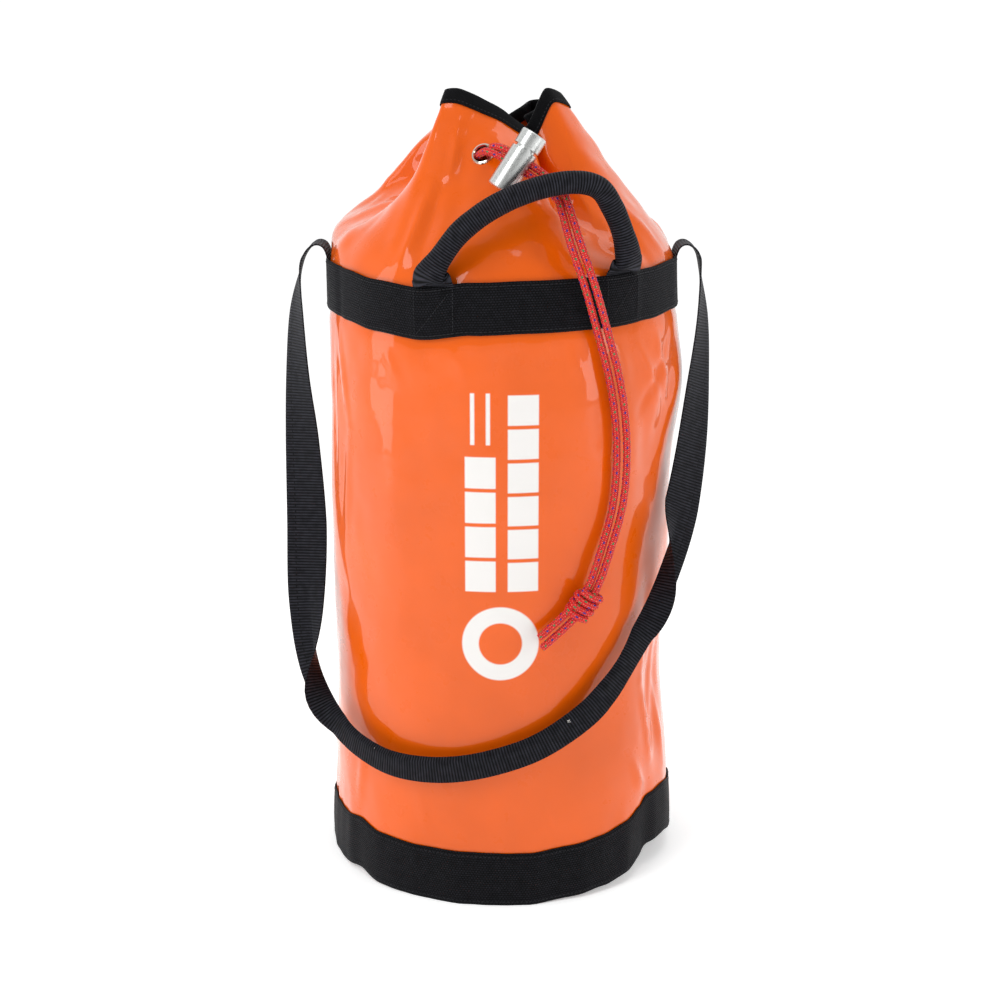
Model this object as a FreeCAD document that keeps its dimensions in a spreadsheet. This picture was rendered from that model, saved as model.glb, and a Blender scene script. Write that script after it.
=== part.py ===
"""Rope bag with a drawcord mouth: a round PVC bag with webbing bands, a carry handle and a shoulder strap.

Frame: +Z up, the front faces -Y, the origin is the centre of the base on the ground. Millimetres.
"""
import FreeCAD, Part
import math
import os

import Sketcher
from FreeCAD import Placement, Rotation, Vector

UP = Vector(0, 0, 1)
LONGEST_NAME = 60

doc = FreeCAD.newDocument("RopeBag")

# ---------------------------------------------------------------- driving dimensions

SIZES = {
    # bag wall, a tube of PVC sheet that narrows a little towards the upper band
    "sheet_thickness": 1.2,
    "foot_radius": 144.9,
    "neck_radius": 141.6,
    "neck_height": 455.0,
    "collar_radius": 139.6,
    "shoulder_height": 466.0,
    "body_height": 484.0,
    "base_thickness": 2.0,
    "ease": 0.3,
    "seam_width_angle": 12.0,
    "seam_thickness": 1.0,
    # webbing bands round the bag
    "webbing_thickness": 1.5,
    "foot_band_width": 45.0,
    "band_width": 40.0,
    "band_low": 465.0,
    "band_inner_radius": 141.4,
    "foot_band_inner_radius": 145.2,
    # thread rows
    "thread_radius": 0.4,
    "thread_inset": 3.0,
    # eyelets and their washers
    "eyelet_hole_radius": 6.7,
    "eyelet_barrel_radius": 7.2,
    "eyelet_flange_radius": 9.2,
    "eyelet_flange_thickness": 0.9,
    "eyelet_barrel_depth": 3.4,
    "washer_hole_radius": 7.4,
    "sheet_hole_radius": 7.6,
    # drawcord and its lock
    "cord_radius": 3.0,
    "lock_radius": 10.5,
    "lock_bore_radius": 8.2,
    "lock_barrel_length": 34.0,
    "lock_floor": 3.0,
    "lock_gap": 2.4,
    "lock_head_length": 12.0,
    "lock_edge": 0.8,
    "stem_radius": 7.9,
    "stem_foot": 11.0,
    "cord_slot_width": 7.0,
    "barrel_slot_low": 17.8,
    "barrel_slot_length": 13.4,
    "stem_slot_low": 18.0,
    "stem_slot_length": 15.0,
    "spring_wire_radius": 0.6,
    "spring_radius": 5.5,
    "spring_pitch": 2.2,
    "spring_height": 6.6,
    # knot at the end of the drawcord
    "knot_half_length": 13.5,
    "knot_half_width": 11.0,
    "knot_half_depth": 8.0,
    # carry handle
    "handle_radius": 8.5,
    "handle_core_radius": 6.2,
    "handle_sleeve_inner": 6.5,
    "tab_sweep": 15.4,
    "tab_bottom": 468.0,
    "tab_height": 36.8,
    # shoulder strap
    "strap_width": 40.0,
    "strap_thickness": 1.5,
    "strap_axis_height": 518.0,
    "anchor_sweep": 16.2,
    "anchor_thickness": 1.2,
    "anchor_bottom": 470.0,
    "anchor_height": 34.0,
}

sheet = doc.addObject("Spreadsheet::Sheet", "Sizes")
for row, (alias, value) in enumerate(SIZES.items(), start=1):
    sheet.set("A%d" % row, alias)
    sheet.set("B%d" % row, repr(value))
    sheet.setAlias("B%d" % row, alias)
doc.recompute()


def size(name):
    """A driving dimension, read from the sheet."""
    return float(getattr(sheet, name))


def total(words):
    """The value of sums such as "neck_radius - sheet_thickness"."""
    result, sign = 0.0, 1
    for word in words.split():
        if word in ("+", "-"):
            sign = 1 if word == "+" else -1
        else:
            result += sign * (size(word) if word in SIZES else float(word))
            sign = 1
    return result


def formula(words):
    """The same sum as an expression of the document."""
    return " ".join("Sizes." + word if word in SIZES else word for word in words.split())


# ---------------------------------------------------------------- ways of making a piece

pieces = []


def keep(piece, label):
    """Names a finished sub-part and puts it on the list that is written."""
    piece.Label = label
    pieces.append(piece)
    return piece


def origin_plane(body, role):
    return next(part for part in body.Origin.OriginFeatures if part.Role == role)


def new_sketch(body, name, role):
    sketch = body.newObject("Sketcher::SketchObject", name)
    sketch.AttachmentSupport = (origin_plane(body, role), [""])
    sketch.MapMode = "FlatFace"
    return sketch


def bind(sketch, kind, expression, *geometry):
    """Adds a dimension to a sketch and binds it to the sheet."""
    index = sketch.addConstraint(Sketcher.Constraint(kind, *geometry, total(expression)))
    sketch.setExpression("Constraints[%d]" % index, formula(expression))


def outline(sketch, corners):
    """A closed outline whose corners, (across, up) sums of sizes, are all bound to the sheet."""
    points = [Vector(total(across), total(up), 0) for across, up in corners]
    for k, point in enumerate(points):
        sketch.addGeometry(Part.LineSegment(point, points[(k + 1) % len(points)]))
    for k, (across, up) in enumerate(corners):
        sketch.addConstraint(Sketcher.Constraint("Coincident", k - 1 if k else len(corners) - 1, 2, k, 1))
        if total(across) == 0:
            sketch.addConstraint(Sketcher.Constraint("PointOnObject", k, 1, -2))
        else:
            bind(sketch, "DistanceX", across, -1, 1, k, 1)
        if total(up) == 0:
            sketch.addConstraint(Sketcher.Constraint("PointOnObject", k, 1, -1))
        else:
            bind(sketch, "DistanceY", up, -1, 1, k, 1)


def turned(label, corners, sweep="360", middle=False):
    """A body turned about its own Z axis, all round or through a sweep that is centred on its X axis."""
    body = doc.addObject("PartDesign::Body", label)
    sketch = new_sketch(body, label + "_outline", "XZ_Plane")
    outline(sketch, corners)
    turn = body.newObject("PartDesign::Revolution", label + "_turn")
    turn.Profile = sketch
    turn.ReferenceAxis = (sketch, ["V_Axis"])
    turn.Midplane = middle
    turn.setExpression("Angle", formula(sweep))
    sketch.Visibility = False
    return keep(body, label)


def ring_outline(inner, outer, low, high):
    return [(inner, low), (outer, low), (outer, high), (inner, high)]


def solid_from_sections(sections, closed):
    """A solid skinned over sections with equal counts of corners, each cell split into two flat triangles.

    The split starts from the lower corner, so that skins laid over each other fold alike. The sections go
    round a ring when closed, and otherwise the two end sections are capped.
    """
    count = len(sections)
    corners = len(sections[0])
    faces = []

    def add(*points):
        faces.append(Part.Face(Part.makePolygon([*points, points[0]])))

    for k in range(count if closed else count - 1):
        here, there = sections[k], sections[(k + 1) % count]
        for c in range(corners):
            d = (c + 1) % corners
            if here[c].z <= here[d].z:
                add(here[c], here[d], there[d])
                add(here[c], there[d], there[c])
            else:
                add(here[c], here[d], there[c])
                add(here[d], there[d], there[c])
    if not closed:
        for end in (sections[0], sections[-1]):
            for c in range(1, corners - 1):
                add(end[0], end[c], end[c + 1])
    shell = Part.makeShell(faces)
    shell.sewShape()
    solid = Part.makeSolid(shell)
    if solid.Volume < 0:
        solid.reverse()
    return solid


def shaped(label, shape, placement=None):
    """A sub-part whose shape has no feature that fits it."""
    feature = doc.addObject("Part::Feature", label)
    feature.Shape = shape
    if placement is not None:
        feature.Placement = placement
    return keep(feature, label)


def rounded_path(points):
    """Straight runs joined by tangent arcs, each as large as its two runs allow: (edges, length, radii)."""
    edges, radii = [], []
    start = points[0]
    for before, corner, after in zip(points, points[1:], points[2:]):
        into, out = (before - corner), (after - corner)
        shorter = min(into.Length, out.Length)
        half_turn = (math.pi - into.getAngle(out)) / 2
        cut = 0.45 * shorter
        radius = cut / math.tan(half_turn)
        into.normalize()
        out.normalize()
        first, last = corner + into * cut, corner + out * cut
        bisector = (into + out).normalize()
        middle = corner + bisector * (radius / math.cos(half_turn) - radius)
        edges.append(Part.LineSegment(start, first).toShape())
        edges.append(Part.Arc(first, middle, last).toShape())
        radii.append(radius)
        start = last
    edges.append(Part.LineSegment(start, points[-1]).toShape())
    return edges, sum(edge.Length for edge in edges), radii


def tube(label, points, outer, inner=0.0):
    """A round tube or cord along a route of points. It prints the route's radii and compares its volume."""
    edges, length, radii = rounded_path(points)
    spine = Part.Wire(edges)
    direction = points[1] - points[0]
    solids = []
    for radius in [outer] + ([inner] if inner else []):
        section = Part.Wire(Part.makeCircle(radius, points[0], direction))
        solids.append(spine.makePipeShell([section], True, False))
    shape = solids[0].cut(solids[1]) if inner else solids[0]
    expected = math.pi * (outer**2 - inner**2) * length
    if abs(shape.Volume / expected - 1) > 0.01:
        raise ValueError("%s: volume %.0f, section times length %.0f" % (label, shape.Volume, expected))
    print("%s: length %.1f, radii %s" % (label, length, " ".join("%.0f" % r for r in radii)))
    return shaped(label, shape)


def round_the_bag(azimuth, radius, height):
    """A point by its azimuth, in degrees from the front towards +X."""
    angle = math.radians(azimuth)
    return Vector(radius * math.sin(angle), -radius * math.cos(angle), height)


def face_azimuth(piece, azimuth):
    """Turns a piece made about its X axis to stand at an azimuth."""
    piece.Placement = Placement(Vector(0, 0, 0), Rotation(UP, azimuth - 90))


# ---------------------------------------------------------------- base and side wall

turned("base_disc", [("0", "0"), ("foot_radius - sheet_thickness - ease", "0"),
                     ("foot_radius - sheet_thickness - ease", "base_thickness"), ("0", "base_thickness")])

turned("body_panel", [
    ("foot_radius - sheet_thickness", "0"),
    ("foot_radius", "0"),
    ("neck_radius", "neck_height"),
    ("collar_radius", "shoulder_height"),
    ("collar_radius", "body_height"),
    ("collar_radius - sheet_thickness", "body_height"),
    ("collar_radius - sheet_thickness", "shoulder_height"),
    ("neck_radius - sheet_thickness", "neck_height"),
])

seam = turned("back_seam_strip", [
    ("foot_radius + ease - 0.3", "foot_band_width + 1"),
    ("foot_radius + ease - 0.3 + seam_thickness", "foot_band_width + 1"),
    ("neck_radius + ease + seam_thickness", "neck_height - 1"),
    ("neck_radius + ease", "neck_height - 1"),
], "seam_width_angle", True)
face_azimuth(seam, 180)

# ---------------------------------------------------------------- webbing bands and their thread rows

turned("bottom_band", ring_outline(
    "foot_band_inner_radius", "foot_band_inner_radius + webbing_thickness", "0", "foot_band_width"))

turned("upper_band", ring_outline(
    "band_inner_radius", "band_inner_radius + webbing_thickness", "band_low", "band_low + band_width"))


def thread_rows(label, radius, heights):
    """Rows of thread round a band, as one node of separate rings."""
    rings = [Part.makeTorus(radius, size("thread_radius"), Vector(0, 0, height)) for height in heights]
    return shaped(label, Part.makeCompound(rings))


thread_stand = size("webbing_thickness") + size("thread_radius") + 0.1
thread_rows("bottom_band_thread", size("foot_band_inner_radius") + thread_stand,
            [size("thread_inset"), size("foot_band_width") - size("thread_inset")])
thread_rows("upper_band_thread", size("band_inner_radius") + thread_stand,
            [size("band_low") + size("thread_inset"),
             size("band_low") + size("band_width") - size("thread_inset")])

# ---------------------------------------------------------------- gathered collar

# The collar is one tube of sheet, gathered by the cord into lobes. Each column of it runs from the band, at
# an azimuth, over a point level with the eyelets to a point of the rim.
COLUMNS = [
    # azimuth, level with the eyelets, on the rim
    (-8, (-3, -83, 593), (-2, -53, 629)),
    (8, (20, -88, 588), (12, -60, 619)),
    (24, (30, -80, 583), (24, -60, 611)),
    (38, (22, -44, 579), (9, -22, 606)),
    (50, (40, -62, 585), (21, -46, 615)),
    (66, (60, -54, 600), (34, -43, 644)),
    (84, (77, -20, 598), (48, -28, 637)),
    (98, (48, -14, 591), (32, -14, 628)),
    (112, (40, 4, 585), (18, 0, 620)),
    (126, (60, 30, 590), (36, 18, 626)),
    (142, (60, 54, 594), (44, 34, 632)),
    (156, (28, 76, 593), (24, 48, 631)),
    (168, (20, 54, 590), (16, 32, 626)),
    (180, (0, 44, 584), (1, 20, 618)),
    (192, (-20, 54, 588), (-14, 32, 624)),
    (204, (-28, 76, 592), (-22, 48, 629)),
    (226, (-60, 56, 593), (-42, 38, 631)),
    (250, (-80, 14, 591), (-38, 12, 622)),
    (268, (-44, 4, 587), (-26, 4, 620)),
    (282, (-38, -16, 582), (-18, -8, 616)),
    (297, (-57, -40, 590), (-33, -22, 628)),
    (316, (-59, -61, 601), (-44, -42, 642)),
    (330, (-43, -66, 602), (-34, -45, 643)),
    (341, (-26, -69, 598), (-20, -47, 638)),
]
# Each eyelet sits between two columns. Both ends of the cord leave by the first one.
EYELET_CELLS = [23, 19, 18, 14, 11, 8, 6]
BINDING_DEPTH = 12.0
BINDING_THICKNESS = 1.1
BINDING_EASE = 0.3
LEVEL, BELOW_BINDING, RIM = 2, 3, 4

low_ring = size("body_height") + size("ease")
band_top = size("band_low") + size("band_width")


def column_line(azimuth, level, rim):
    """The points of one column, from the band to the rim."""
    down = (Vector(*level) - Vector(*rim)).normalize()
    return [round_the_bag(azimuth, size("collar_radius"), low_ring),
            round_the_bag(azimuth, size("collar_radius"), band_top),
            Vector(*level),
            Vector(*rim) + down * BINDING_DEPTH,
            Vector(*rim)]


column_lines = [column_line(*column) for column in COLUMNS]


def outward_normals(lines):
    """For each column and row, the outward direction across the sheet."""
    count = len(lines)
    normals = []
    for k, line in enumerate(lines):
        before, after = lines[k - 1], lines[(k + 1) % count]
        row_normals = []
        for r in range(len(line)):
            into = (line[r] - before[r]).normalize()
            out = (after[r] - line[r]).normalize()
            along = into + out
            rise = line[min(r + 1, len(line) - 1)] - line[max(r - 1, 0)]
            row_normals.append(along.cross(rise).normalize())
        normals.append(row_normals)
    return normals


column_normals = outward_normals(column_lines)


def collar_section(k):
    """The sheet's section at one column: up the outside and down the inside."""
    line, normals = column_lines[k], column_normals[k]
    inside = [point - normal * size("sheet_thickness") for point, normal in zip(line, normals)]
    return line + inside[::-1]


def eyelet_place(cell):
    """Where an eyelet sits: its Z axis points out of the sheet."""
    nxt = (cell + 1) % len(column_lines)
    here, there = column_lines[cell], column_lines[nxt]
    centre = (here[LEVEL] + there[LEVEL]) * 0.5
    rise = (here[RIM] + there[RIM]) * 0.5 - (here[1] + there[1]) * 0.5
    normal = (there[LEVEL] - here[LEVEL]).cross(rise).normalize()
    return Placement(centre, Rotation(UP, normal))


eyelet_places = [eyelet_place(cell) for cell in EYELET_CELLS]
collar = solid_from_sections([collar_section(k) for k in range(len(COLUMNS))], True)
for place in eyelet_places:
    hole = Part.makeCylinder(size("sheet_hole_radius"), 12, Vector(0, 0, -6))
    hole.Placement = place
    collar = collar.cut(hole)
shaped("mouth_collar", collar)

# The binding is a tape folded over the rim, clear of the sheet on both sides.


def binding_section(k):
    """A hooked section: outside, over the rim and down the inside of the sheet."""
    line, normals = column_lines[k], column_normals[k]
    up_sheet = (line[RIM] - line[LEVEL]).normalize()

    def beside(row, stand, over=0.0):
        return line[row] + normals[row] * stand + up_sheet * over

    far = BINDING_EASE + BINDING_THICKNESS
    behind = -size("sheet_thickness")
    return [beside(BELOW_BINDING, far), beside(RIM, far, far),
            beside(RIM, behind - far, far), beside(BELOW_BINDING, behind - far),
            beside(BELOW_BINDING, behind - BINDING_EASE), beside(RIM, behind - BINDING_EASE, BINDING_EASE),
            beside(RIM, BINDING_EASE, BINDING_EASE), beside(BELOW_BINDING, BINDING_EASE)]


shaped("rim_binding", solid_from_sections([binding_section(k) for k in range(len(COLUMNS))], True))

# ---------------------------------------------------------------- eyelets and washers

for number, place in enumerate(eyelet_places, start=1):
    eyelet = turned("eyelet_%d" % number, [
        ("eyelet_hole_radius", "10 - eyelet_barrel_depth"),
        ("eyelet_barrel_radius", "10 - eyelet_barrel_depth"),
        ("eyelet_barrel_radius", "10 + ease"),
        ("eyelet_flange_radius", "10 + ease"),
        ("eyelet_flange_radius - 0.6", "10 + ease + eyelet_flange_thickness"),
        ("eyelet_hole_radius + 0.8", "10 + ease + eyelet_flange_thickness + 0.3"),
        ("eyelet_hole_radius", "10 + ease"),
    ])
    washer = turned("eyelet_washer_%d" % number, ring_outline(
        "washer_hole_radius", "eyelet_flange_radius", "10 - sheet_thickness - ease - 0.7",
        "10 - sheet_thickness - ease"))
    for piece in (eyelet, washer):
        piece.Placement = place.multiply(Placement(Vector(0, 0, -10), Rotation()))

# ---------------------------------------------------------------- cord lock

# The lock lies on the front of the collar, its head up and to the right. Its cord slot runs across it.
lock_axis = Vector(0.545, 0.12, 0.83).normalize()
slot_run = Vector(0.815, -0.2, -0.545)
slot_run = (slot_run - lock_axis * slot_run.dot(lock_axis)).normalize()
slot_centre = Vector(12, -108.5, 592)
slot_middle = size("barrel_slot_low") + size("barrel_slot_length") / 2
lock_place = Placement(slot_centre - lock_axis * slot_middle,
                       Rotation(slot_run, lock_axis.cross(slot_run), lock_axis, "ZXY"))


def slot_sketch(body, name, low, length):
    """An upright rectangle for the cords, in the plane that the cords cross."""
    sketch = new_sketch(body, name, "YZ_Plane")
    half = size("cord_slot_width") / 2
    low_value, high_value = total(low), total(low + " + " + length)
    corners = [Vector(-half, low_value, 0), Vector(half, low_value, 0),
               Vector(half, high_value, 0), Vector(-half, high_value, 0)]
    for k in range(4):
        sketch.addGeometry(Part.LineSegment(corners[k], corners[(k + 1) % 4]))
    for k in range(4):
        sketch.addConstraint(Sketcher.Constraint("Coincident", k, 2, (k + 1) % 4, 1))
    for k, kind in ((1, "Vertical"), (2, "Horizontal"), (3, "Vertical")):
        sketch.addConstraint(Sketcher.Constraint(kind, k))
    sketch.addConstraint(Sketcher.Constraint("Symmetric", 0, 1, 0, 2, -2))
    bind(sketch, "DistanceX", "cord_slot_width", 0, 1, 0, 2)
    bind(sketch, "DistanceY", length, 1, 1, 1, 2)
    bind(sketch, "DistanceY", low, -1, 1, 0, 1)
    return sketch


def cut_cord_slot(body, name, low, length):
    """Cuts the cord slot right through and checks that something was cut."""
    doc.recompute()
    before = body.Shape.Volume
    pocket = body.newObject("PartDesign::Pocket", name)
    pocket.Profile = slot_sketch(body, name + "_outline", low, length)
    pocket.Type = "ThroughAll"
    pocket.SideType = "Symmetric"
    doc.recompute()
    if body.Shape.Volume > before - 1:
        raise ValueError(name + " cut nothing")


barrel = turned("cord_lock_barrel", [
    ("0", "0"),
    ("lock_radius - lock_edge", "0"),
    ("lock_radius", "lock_edge"),
    ("lock_radius", "lock_barrel_length"),
    ("lock_bore_radius", "lock_barrel_length"),
    ("lock_bore_radius", "lock_floor"),
    ("0", "lock_floor"),
])
cut_cord_slot(barrel, "barrel_cord_slot", "barrel_slot_low", "barrel_slot_length")

plunger = turned("cord_lock_plunger", [
    ("0", "stem_foot"),
    ("stem_radius", "stem_foot"),
    ("stem_radius", "lock_barrel_length + lock_gap"),
    ("lock_radius", "lock_barrel_length + lock_gap"),
    ("lock_radius", "lock_barrel_length + lock_gap + lock_head_length - lock_edge"),
    ("lock_radius - lock_edge", "lock_barrel_length + lock_gap + lock_head_length"),
    ("0", "lock_barrel_length + lock_gap + lock_head_length"),
])
cut_cord_slot(plunger, "plunger_cord_slot", "stem_slot_low", "stem_slot_length")

SPRING_STEPS_A_TURN = 18
WIRE_CORNERS = 8
spring_floor = size("lock_floor") + size("spring_wire_radius") + 0.1
coil_sections = []
for step in range(round(SPRING_STEPS_A_TURN * size("spring_height") / size("spring_pitch")) + 1):
    along = step / SPRING_STEPS_A_TURN
    outward_here = Vector(math.cos(math.tau * along), math.sin(math.tau * along), 0)
    centre = outward_here * size("spring_radius") + UP * (spring_floor + along * size("spring_pitch"))
    coil_sections.append([
        centre + (outward_here * math.cos(turn) + UP * math.sin(turn)) * size("spring_wire_radius")
        for turn in (math.tau * corner / WIRE_CORNERS for corner in range(WIRE_CORNERS))])
spring = solid_from_sections(coil_sections, False)
cord_lock_spring = shaped("cord_lock_spring", spring)

for piece in (barrel, plunger, cord_lock_spring):
    piece.Placement = lock_place.multiply(piece.Placement)

# ---------------------------------------------------------------- drawcord

# Both strands lie one above the other in the lock's slot, and side by side where they hang.
half_gap = size("cord_radius") + 0.35
upper_in_slot = lock_axis * half_gap
lower_in_slot = lock_axis * -half_gap

eyelet_points = [place.Base for place in eyelet_places]
beside_eyelet = (column_lines[0][LEVEL] - column_lines[-1][LEVEL]).normalize() * 3.2
STRAIGHT_RUN = 22
LOOP_POINTS = [
    slot_centre + lower_in_slot,
    slot_centre + lower_in_slot - slot_run * STRAIGHT_RUN,
    eyelet_points[0] - beside_eyelet,
    Vector(-23, -56, 584),
    Vector(-38, -38, 583),
    eyelet_points[1],
    Vector(-54, -16, 592),
    eyelet_points[2],
    Vector(-33, -1, 578),
    Vector(-38, 22, 584),
    Vector(-54, 40, 590),
    Vector(-42, 54, 590),
    eyelet_points[3],
    Vector(0, 68, 589),
    eyelet_points[4],
    Vector(42, 46, 590),
    eyelet_points[5],
    Vector(60, -2, 590),
    eyelet_points[6],
    Vector(56, -30, 592),
    Vector(34, -26, 590),
    Vector(12, -34, 590),
    Vector(-4, -54, 592),
    eyelet_points[0] + beside_eyelet,
    slot_centre + upper_in_slot - slot_run * STRAIGHT_RUN,
    slot_centre + upper_in_slot,
]
tube("drawcord_loop", LOOP_POINTS, size("cord_radius"))

# The middle of the pair, from the lock to the knot: behind the handle, under it and down the front.
HANG_POINTS = [
    (slot_centre + slot_run * 37, 0.0),
    (Vector(49, -128, 554), 0.6),
    (Vector(55, -142, 533), 0.9),
    (Vector(66, -140, 503), 1.0),
    (Vector(76, -131, 468), 1.0),
    (Vector(88, -122, 425), 1.0),
    (Vector(94, -118, 378), 1.0),
    (Vector(92, -121, 330), 1.0),
    (Vector(81, -131, 294), 0.9),
    (Vector(71, -138, 264), 0.9),
]
SIDE_GAP = 3.9


def strand(label, in_slot, side):
    """One strand: its place in the slot turns into its place beside the other."""
    points = [slot_centre + in_slot]
    for middle, share in HANG_POINTS:
        points.append(middle + in_slot * (1 - share) + Vector(side * SIDE_GAP * share, 0, 0))
    tube(label, points, size("cord_radius"))
    return points[-1]


left_end = strand("drawcord_strand_left", lower_in_slot, -1)
right_end = strand("drawcord_strand_right", upper_in_slot, 1)

knot_axis = Vector(-0.55, -0.05, -0.83).normalize()
knot_centre = (left_end + right_end) * 0.5 + knot_axis * (size("knot_half_length") - 1.5)
knot = doc.addObject("Part::Ellipsoid", "drawcord_knot")
knot.setExpression("Radius1", "Sizes.knot_half_length")
knot.setExpression("Radius2", "Sizes.knot_half_width")
knot.setExpression("Radius3", "Sizes.knot_half_depth")
knot.Placement = Placement(knot_centre, Rotation(knot_axis.cross(Vector(0, -1, 0)), Vector(0, -1, 0),
                                                 knot_axis, "ZYX"))
keep(knot, "drawcord_knot")

TAIL_DIRECTION = Vector(-0.74, -0.25, -0.62).normalize()
for label, side, tail_length in (("drawcord_tail_left", 1, 34), ("drawcord_tail_right", -1, 38)):
    across = TAIL_DIRECTION.cross(Vector(0, -1, 0)).normalize() * (side * SIDE_GAP)
    root = knot_centre + TAIL_DIRECTION * (size("knot_half_length") - 3) + across
    bend = root + TAIL_DIRECTION * (tail_length / 2) + Vector(0, 1.0, -1.0)
    tube(label, [root, bend, root + TAIL_DIRECTION * tail_length], size("cord_radius"))

# ---------------------------------------------------------------- carry handle

# The grip stands on two feet on the front of the band. Its arch is steeper on the right.
FOOT_RADIUS = 151.0
FOOT_HEIGHT = 510.0
LEFT_FOOT_AZIMUTH = -21.1
RIGHT_FOOT_AZIMUTH = 40.3
left_foot = round_the_bag(LEFT_FOOT_AZIMUTH, FOOT_RADIUS, FOOT_HEIGHT)
right_foot = round_the_bag(RIGHT_FOOT_AZIMUTH, FOOT_RADIUS, FOOT_HEIGHT)
ARCH = [
    # share of the way from the left foot to the right one, height over the feet
    (0.0, 0.0), (0.06, 16.0), (0.16, 34.0), (0.32, 51.0), (0.50, 62.0),
    (0.68, 67.0), (0.82, 63.0), (0.90, 47.0), (0.96, 26.0), (1.0, 0.0),
]
OUTWARD_LEAN = 0.1
across_feet = right_foot - left_foot
outward = across_feet.cross(UP).normalize()
arch_rise = UP + outward * OUTWARD_LEAN
arch_points = [left_foot + across_feet * share + arch_rise * rise for share, rise in ARCH]
tube("handle_sleeve", arch_points, size("handle_radius"), size("handle_sleeve_inner"))
tube("handle_core", arch_points, size("handle_core_radius"))
print("handle axis from %s to %s" % (tuple(left_foot), tuple(right_foot)))

# Each foot ends in a tab that lies under the band.
for label, azimuth in (("handle_tab_left", LEFT_FOOT_AZIMUTH), ("handle_tab_right", RIGHT_FOOT_AZIMUTH)):
    tab = turned(label, ring_outline(
        "collar_radius + ease", "collar_radius + ease + anchor_thickness",
        "tab_bottom", "tab_bottom + tab_height"), "tab_sweep", True)
    face_azimuth(tab, azimuth)

# ---------------------------------------------------------------- shoulder strap

# Sections along the strap: centre, direction of its width, share of the full width, share of the thickness.
# It hangs flat to the sides, is folded in half across the front and pinched where it turns.
STRAP = [
    ((-146.2, 0, 518), (0, 1, 0), 1.0, 1.0),
    ((-158, 0, 513), (0, 1, 0), 1.0, 1.0),
    ((-165, -1, 499), (0.05, -1, 0), -1.0, 1.0),
    ((-169, -4, 463), (0.35, -0.93, 0), -1.0, 1.0),
    ((-169, -8, 411), (0.55, -0.83, 0), -1.0, 1.0),
    ((-166, -14, 357), (0.75, -0.66, 0), -1.0, 1.0),
    ((-163, -24, 290), (0.86, -0.5, 0), -1.0, 1.0),
    ((-162, -40, 225), (0.88, -0.47, 0.05), -0.95, 1.2),
    ((-155, -56, 170), (0.8, -0.5, 0.33), -0.8, 1.6),
    ((-133, -86, 133), (0.4, -0.3, 0.87), -0.36, 3.2),
    ((-102, -116, 118), (0, 0, 1), -0.48, 2.4),
    ((-69, -138, 116), (0, 0, 1), -0.5, 2.4),
    ((-27, -152, 122), (0, 0, 1), -0.5, 2.4),
    ((20, -153, 136), (0, 0, 1), -0.5, 2.4),
    ((55, -144, 154), (-0.3, 0, 0.95), -0.5, 2.4),
    ((80, -132, 174), (-0.5, -0.2, 0.84), -0.5, 2.4),
    ((101, -116, 200), (-0.6, -0.3, 0.74), -0.36, 3.2),
    ((120, -94, 232), (-0.8, -0.5, 0.33), -0.6, 1.8),
    ((134, -77, 268), (-0.8, -0.55, 0.2), -0.8, 1.2),
    ((147, -56, 312), (-0.75, -0.66, 0.1), -1.0, 1.0),
    ((156, -38, 360), (-0.65, -0.76, 0), -1.0, 1.0),
    ((162, -20, 411), (-0.5, -0.86, 0), -1.0, 1.0),
    ((165, -10, 460), (-0.3, -0.95, 0), -1.0, 1.0),
    ((163, -1, 499), (-0.05, -1, 0), -1.0, 1.0),
    ((156, 0, 513), (0, 1, 0), 1.0, 1.0),
    ((146.2, 0, 518), (0, 1, 0), 1.0, 1.0),
]


def strap_sections(rows):
    """Rectangles square to the strap's run, widths turned the same way round from end to end."""
    centres = [Vector(*row[0]) for row in rows]
    sections = []
    for k, (_, width, share, layers) in enumerate(rows):
        run = centres[min(k + 1, len(rows) - 1)] - centres[max(k - 1, 0)]
        across = Vector(*width) * (1 if share > 0 else -1)
        across = (across - run * (across.dot(run) / run.dot(run))).normalize()
        normal = run.cross(across).normalize()
        half_width = across * (size("strap_width") * abs(share) / 2)
        half_depth = normal * (size("strap_thickness") * layers / 2)
        centre = centres[k]
        sections.append([centre - half_width - half_depth, centre + half_width - half_depth,
                         centre + half_width + half_depth, centre - half_width + half_depth])
    return sections


shaped("shoulder_strap", solid_from_sections(strap_sections(STRAP), False))

# Each end of the strap is sewn under the band and comes out over its top edge, along these points.
ANCHOR_TOP = [(140.5, 505.3), (141.5, 512), (143.2, 517), (145.6, 518)]
for label, side in (("strap_anchor_left", -1), ("strap_anchor_right", 1)):
    tab = turned(label, ring_outline(
        "collar_radius + ease", "collar_radius + ease + anchor_thickness",
        "anchor_bottom", "anchor_bottom + anchor_height"), "anchor_sweep", True)
    face_azimuth(tab, 90 * side)
    rows = [((side * across, 0, rise), (0, 1, 0), 1.0, 0.8) for across, rise in ANCHOR_TOP]
    shaped(label.replace("anchor", "turnover"), solid_from_sections(strap_sections(rows), False))

# Bar tacks hold the fold of the grip together at both ends.
for label, index in (("strap_bartack_left", 11), ("strap_bartack_right", 14)):
    centre = Vector(*STRAP[index][0])
    radial = Vector(centre.x, centre.y, 0).normalize()
    tack = Part.makeBox(2.4, 0.5, 15, Vector(-1.2, 0, -7.5))
    stand = size("strap_thickness") * 1.2 + 0.7
    shaped(label, tack, Placement(centre + radial * stand, Rotation(Vector(0, 1, 0), radial)))

# ---------------------------------------------------------------- check and write

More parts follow.
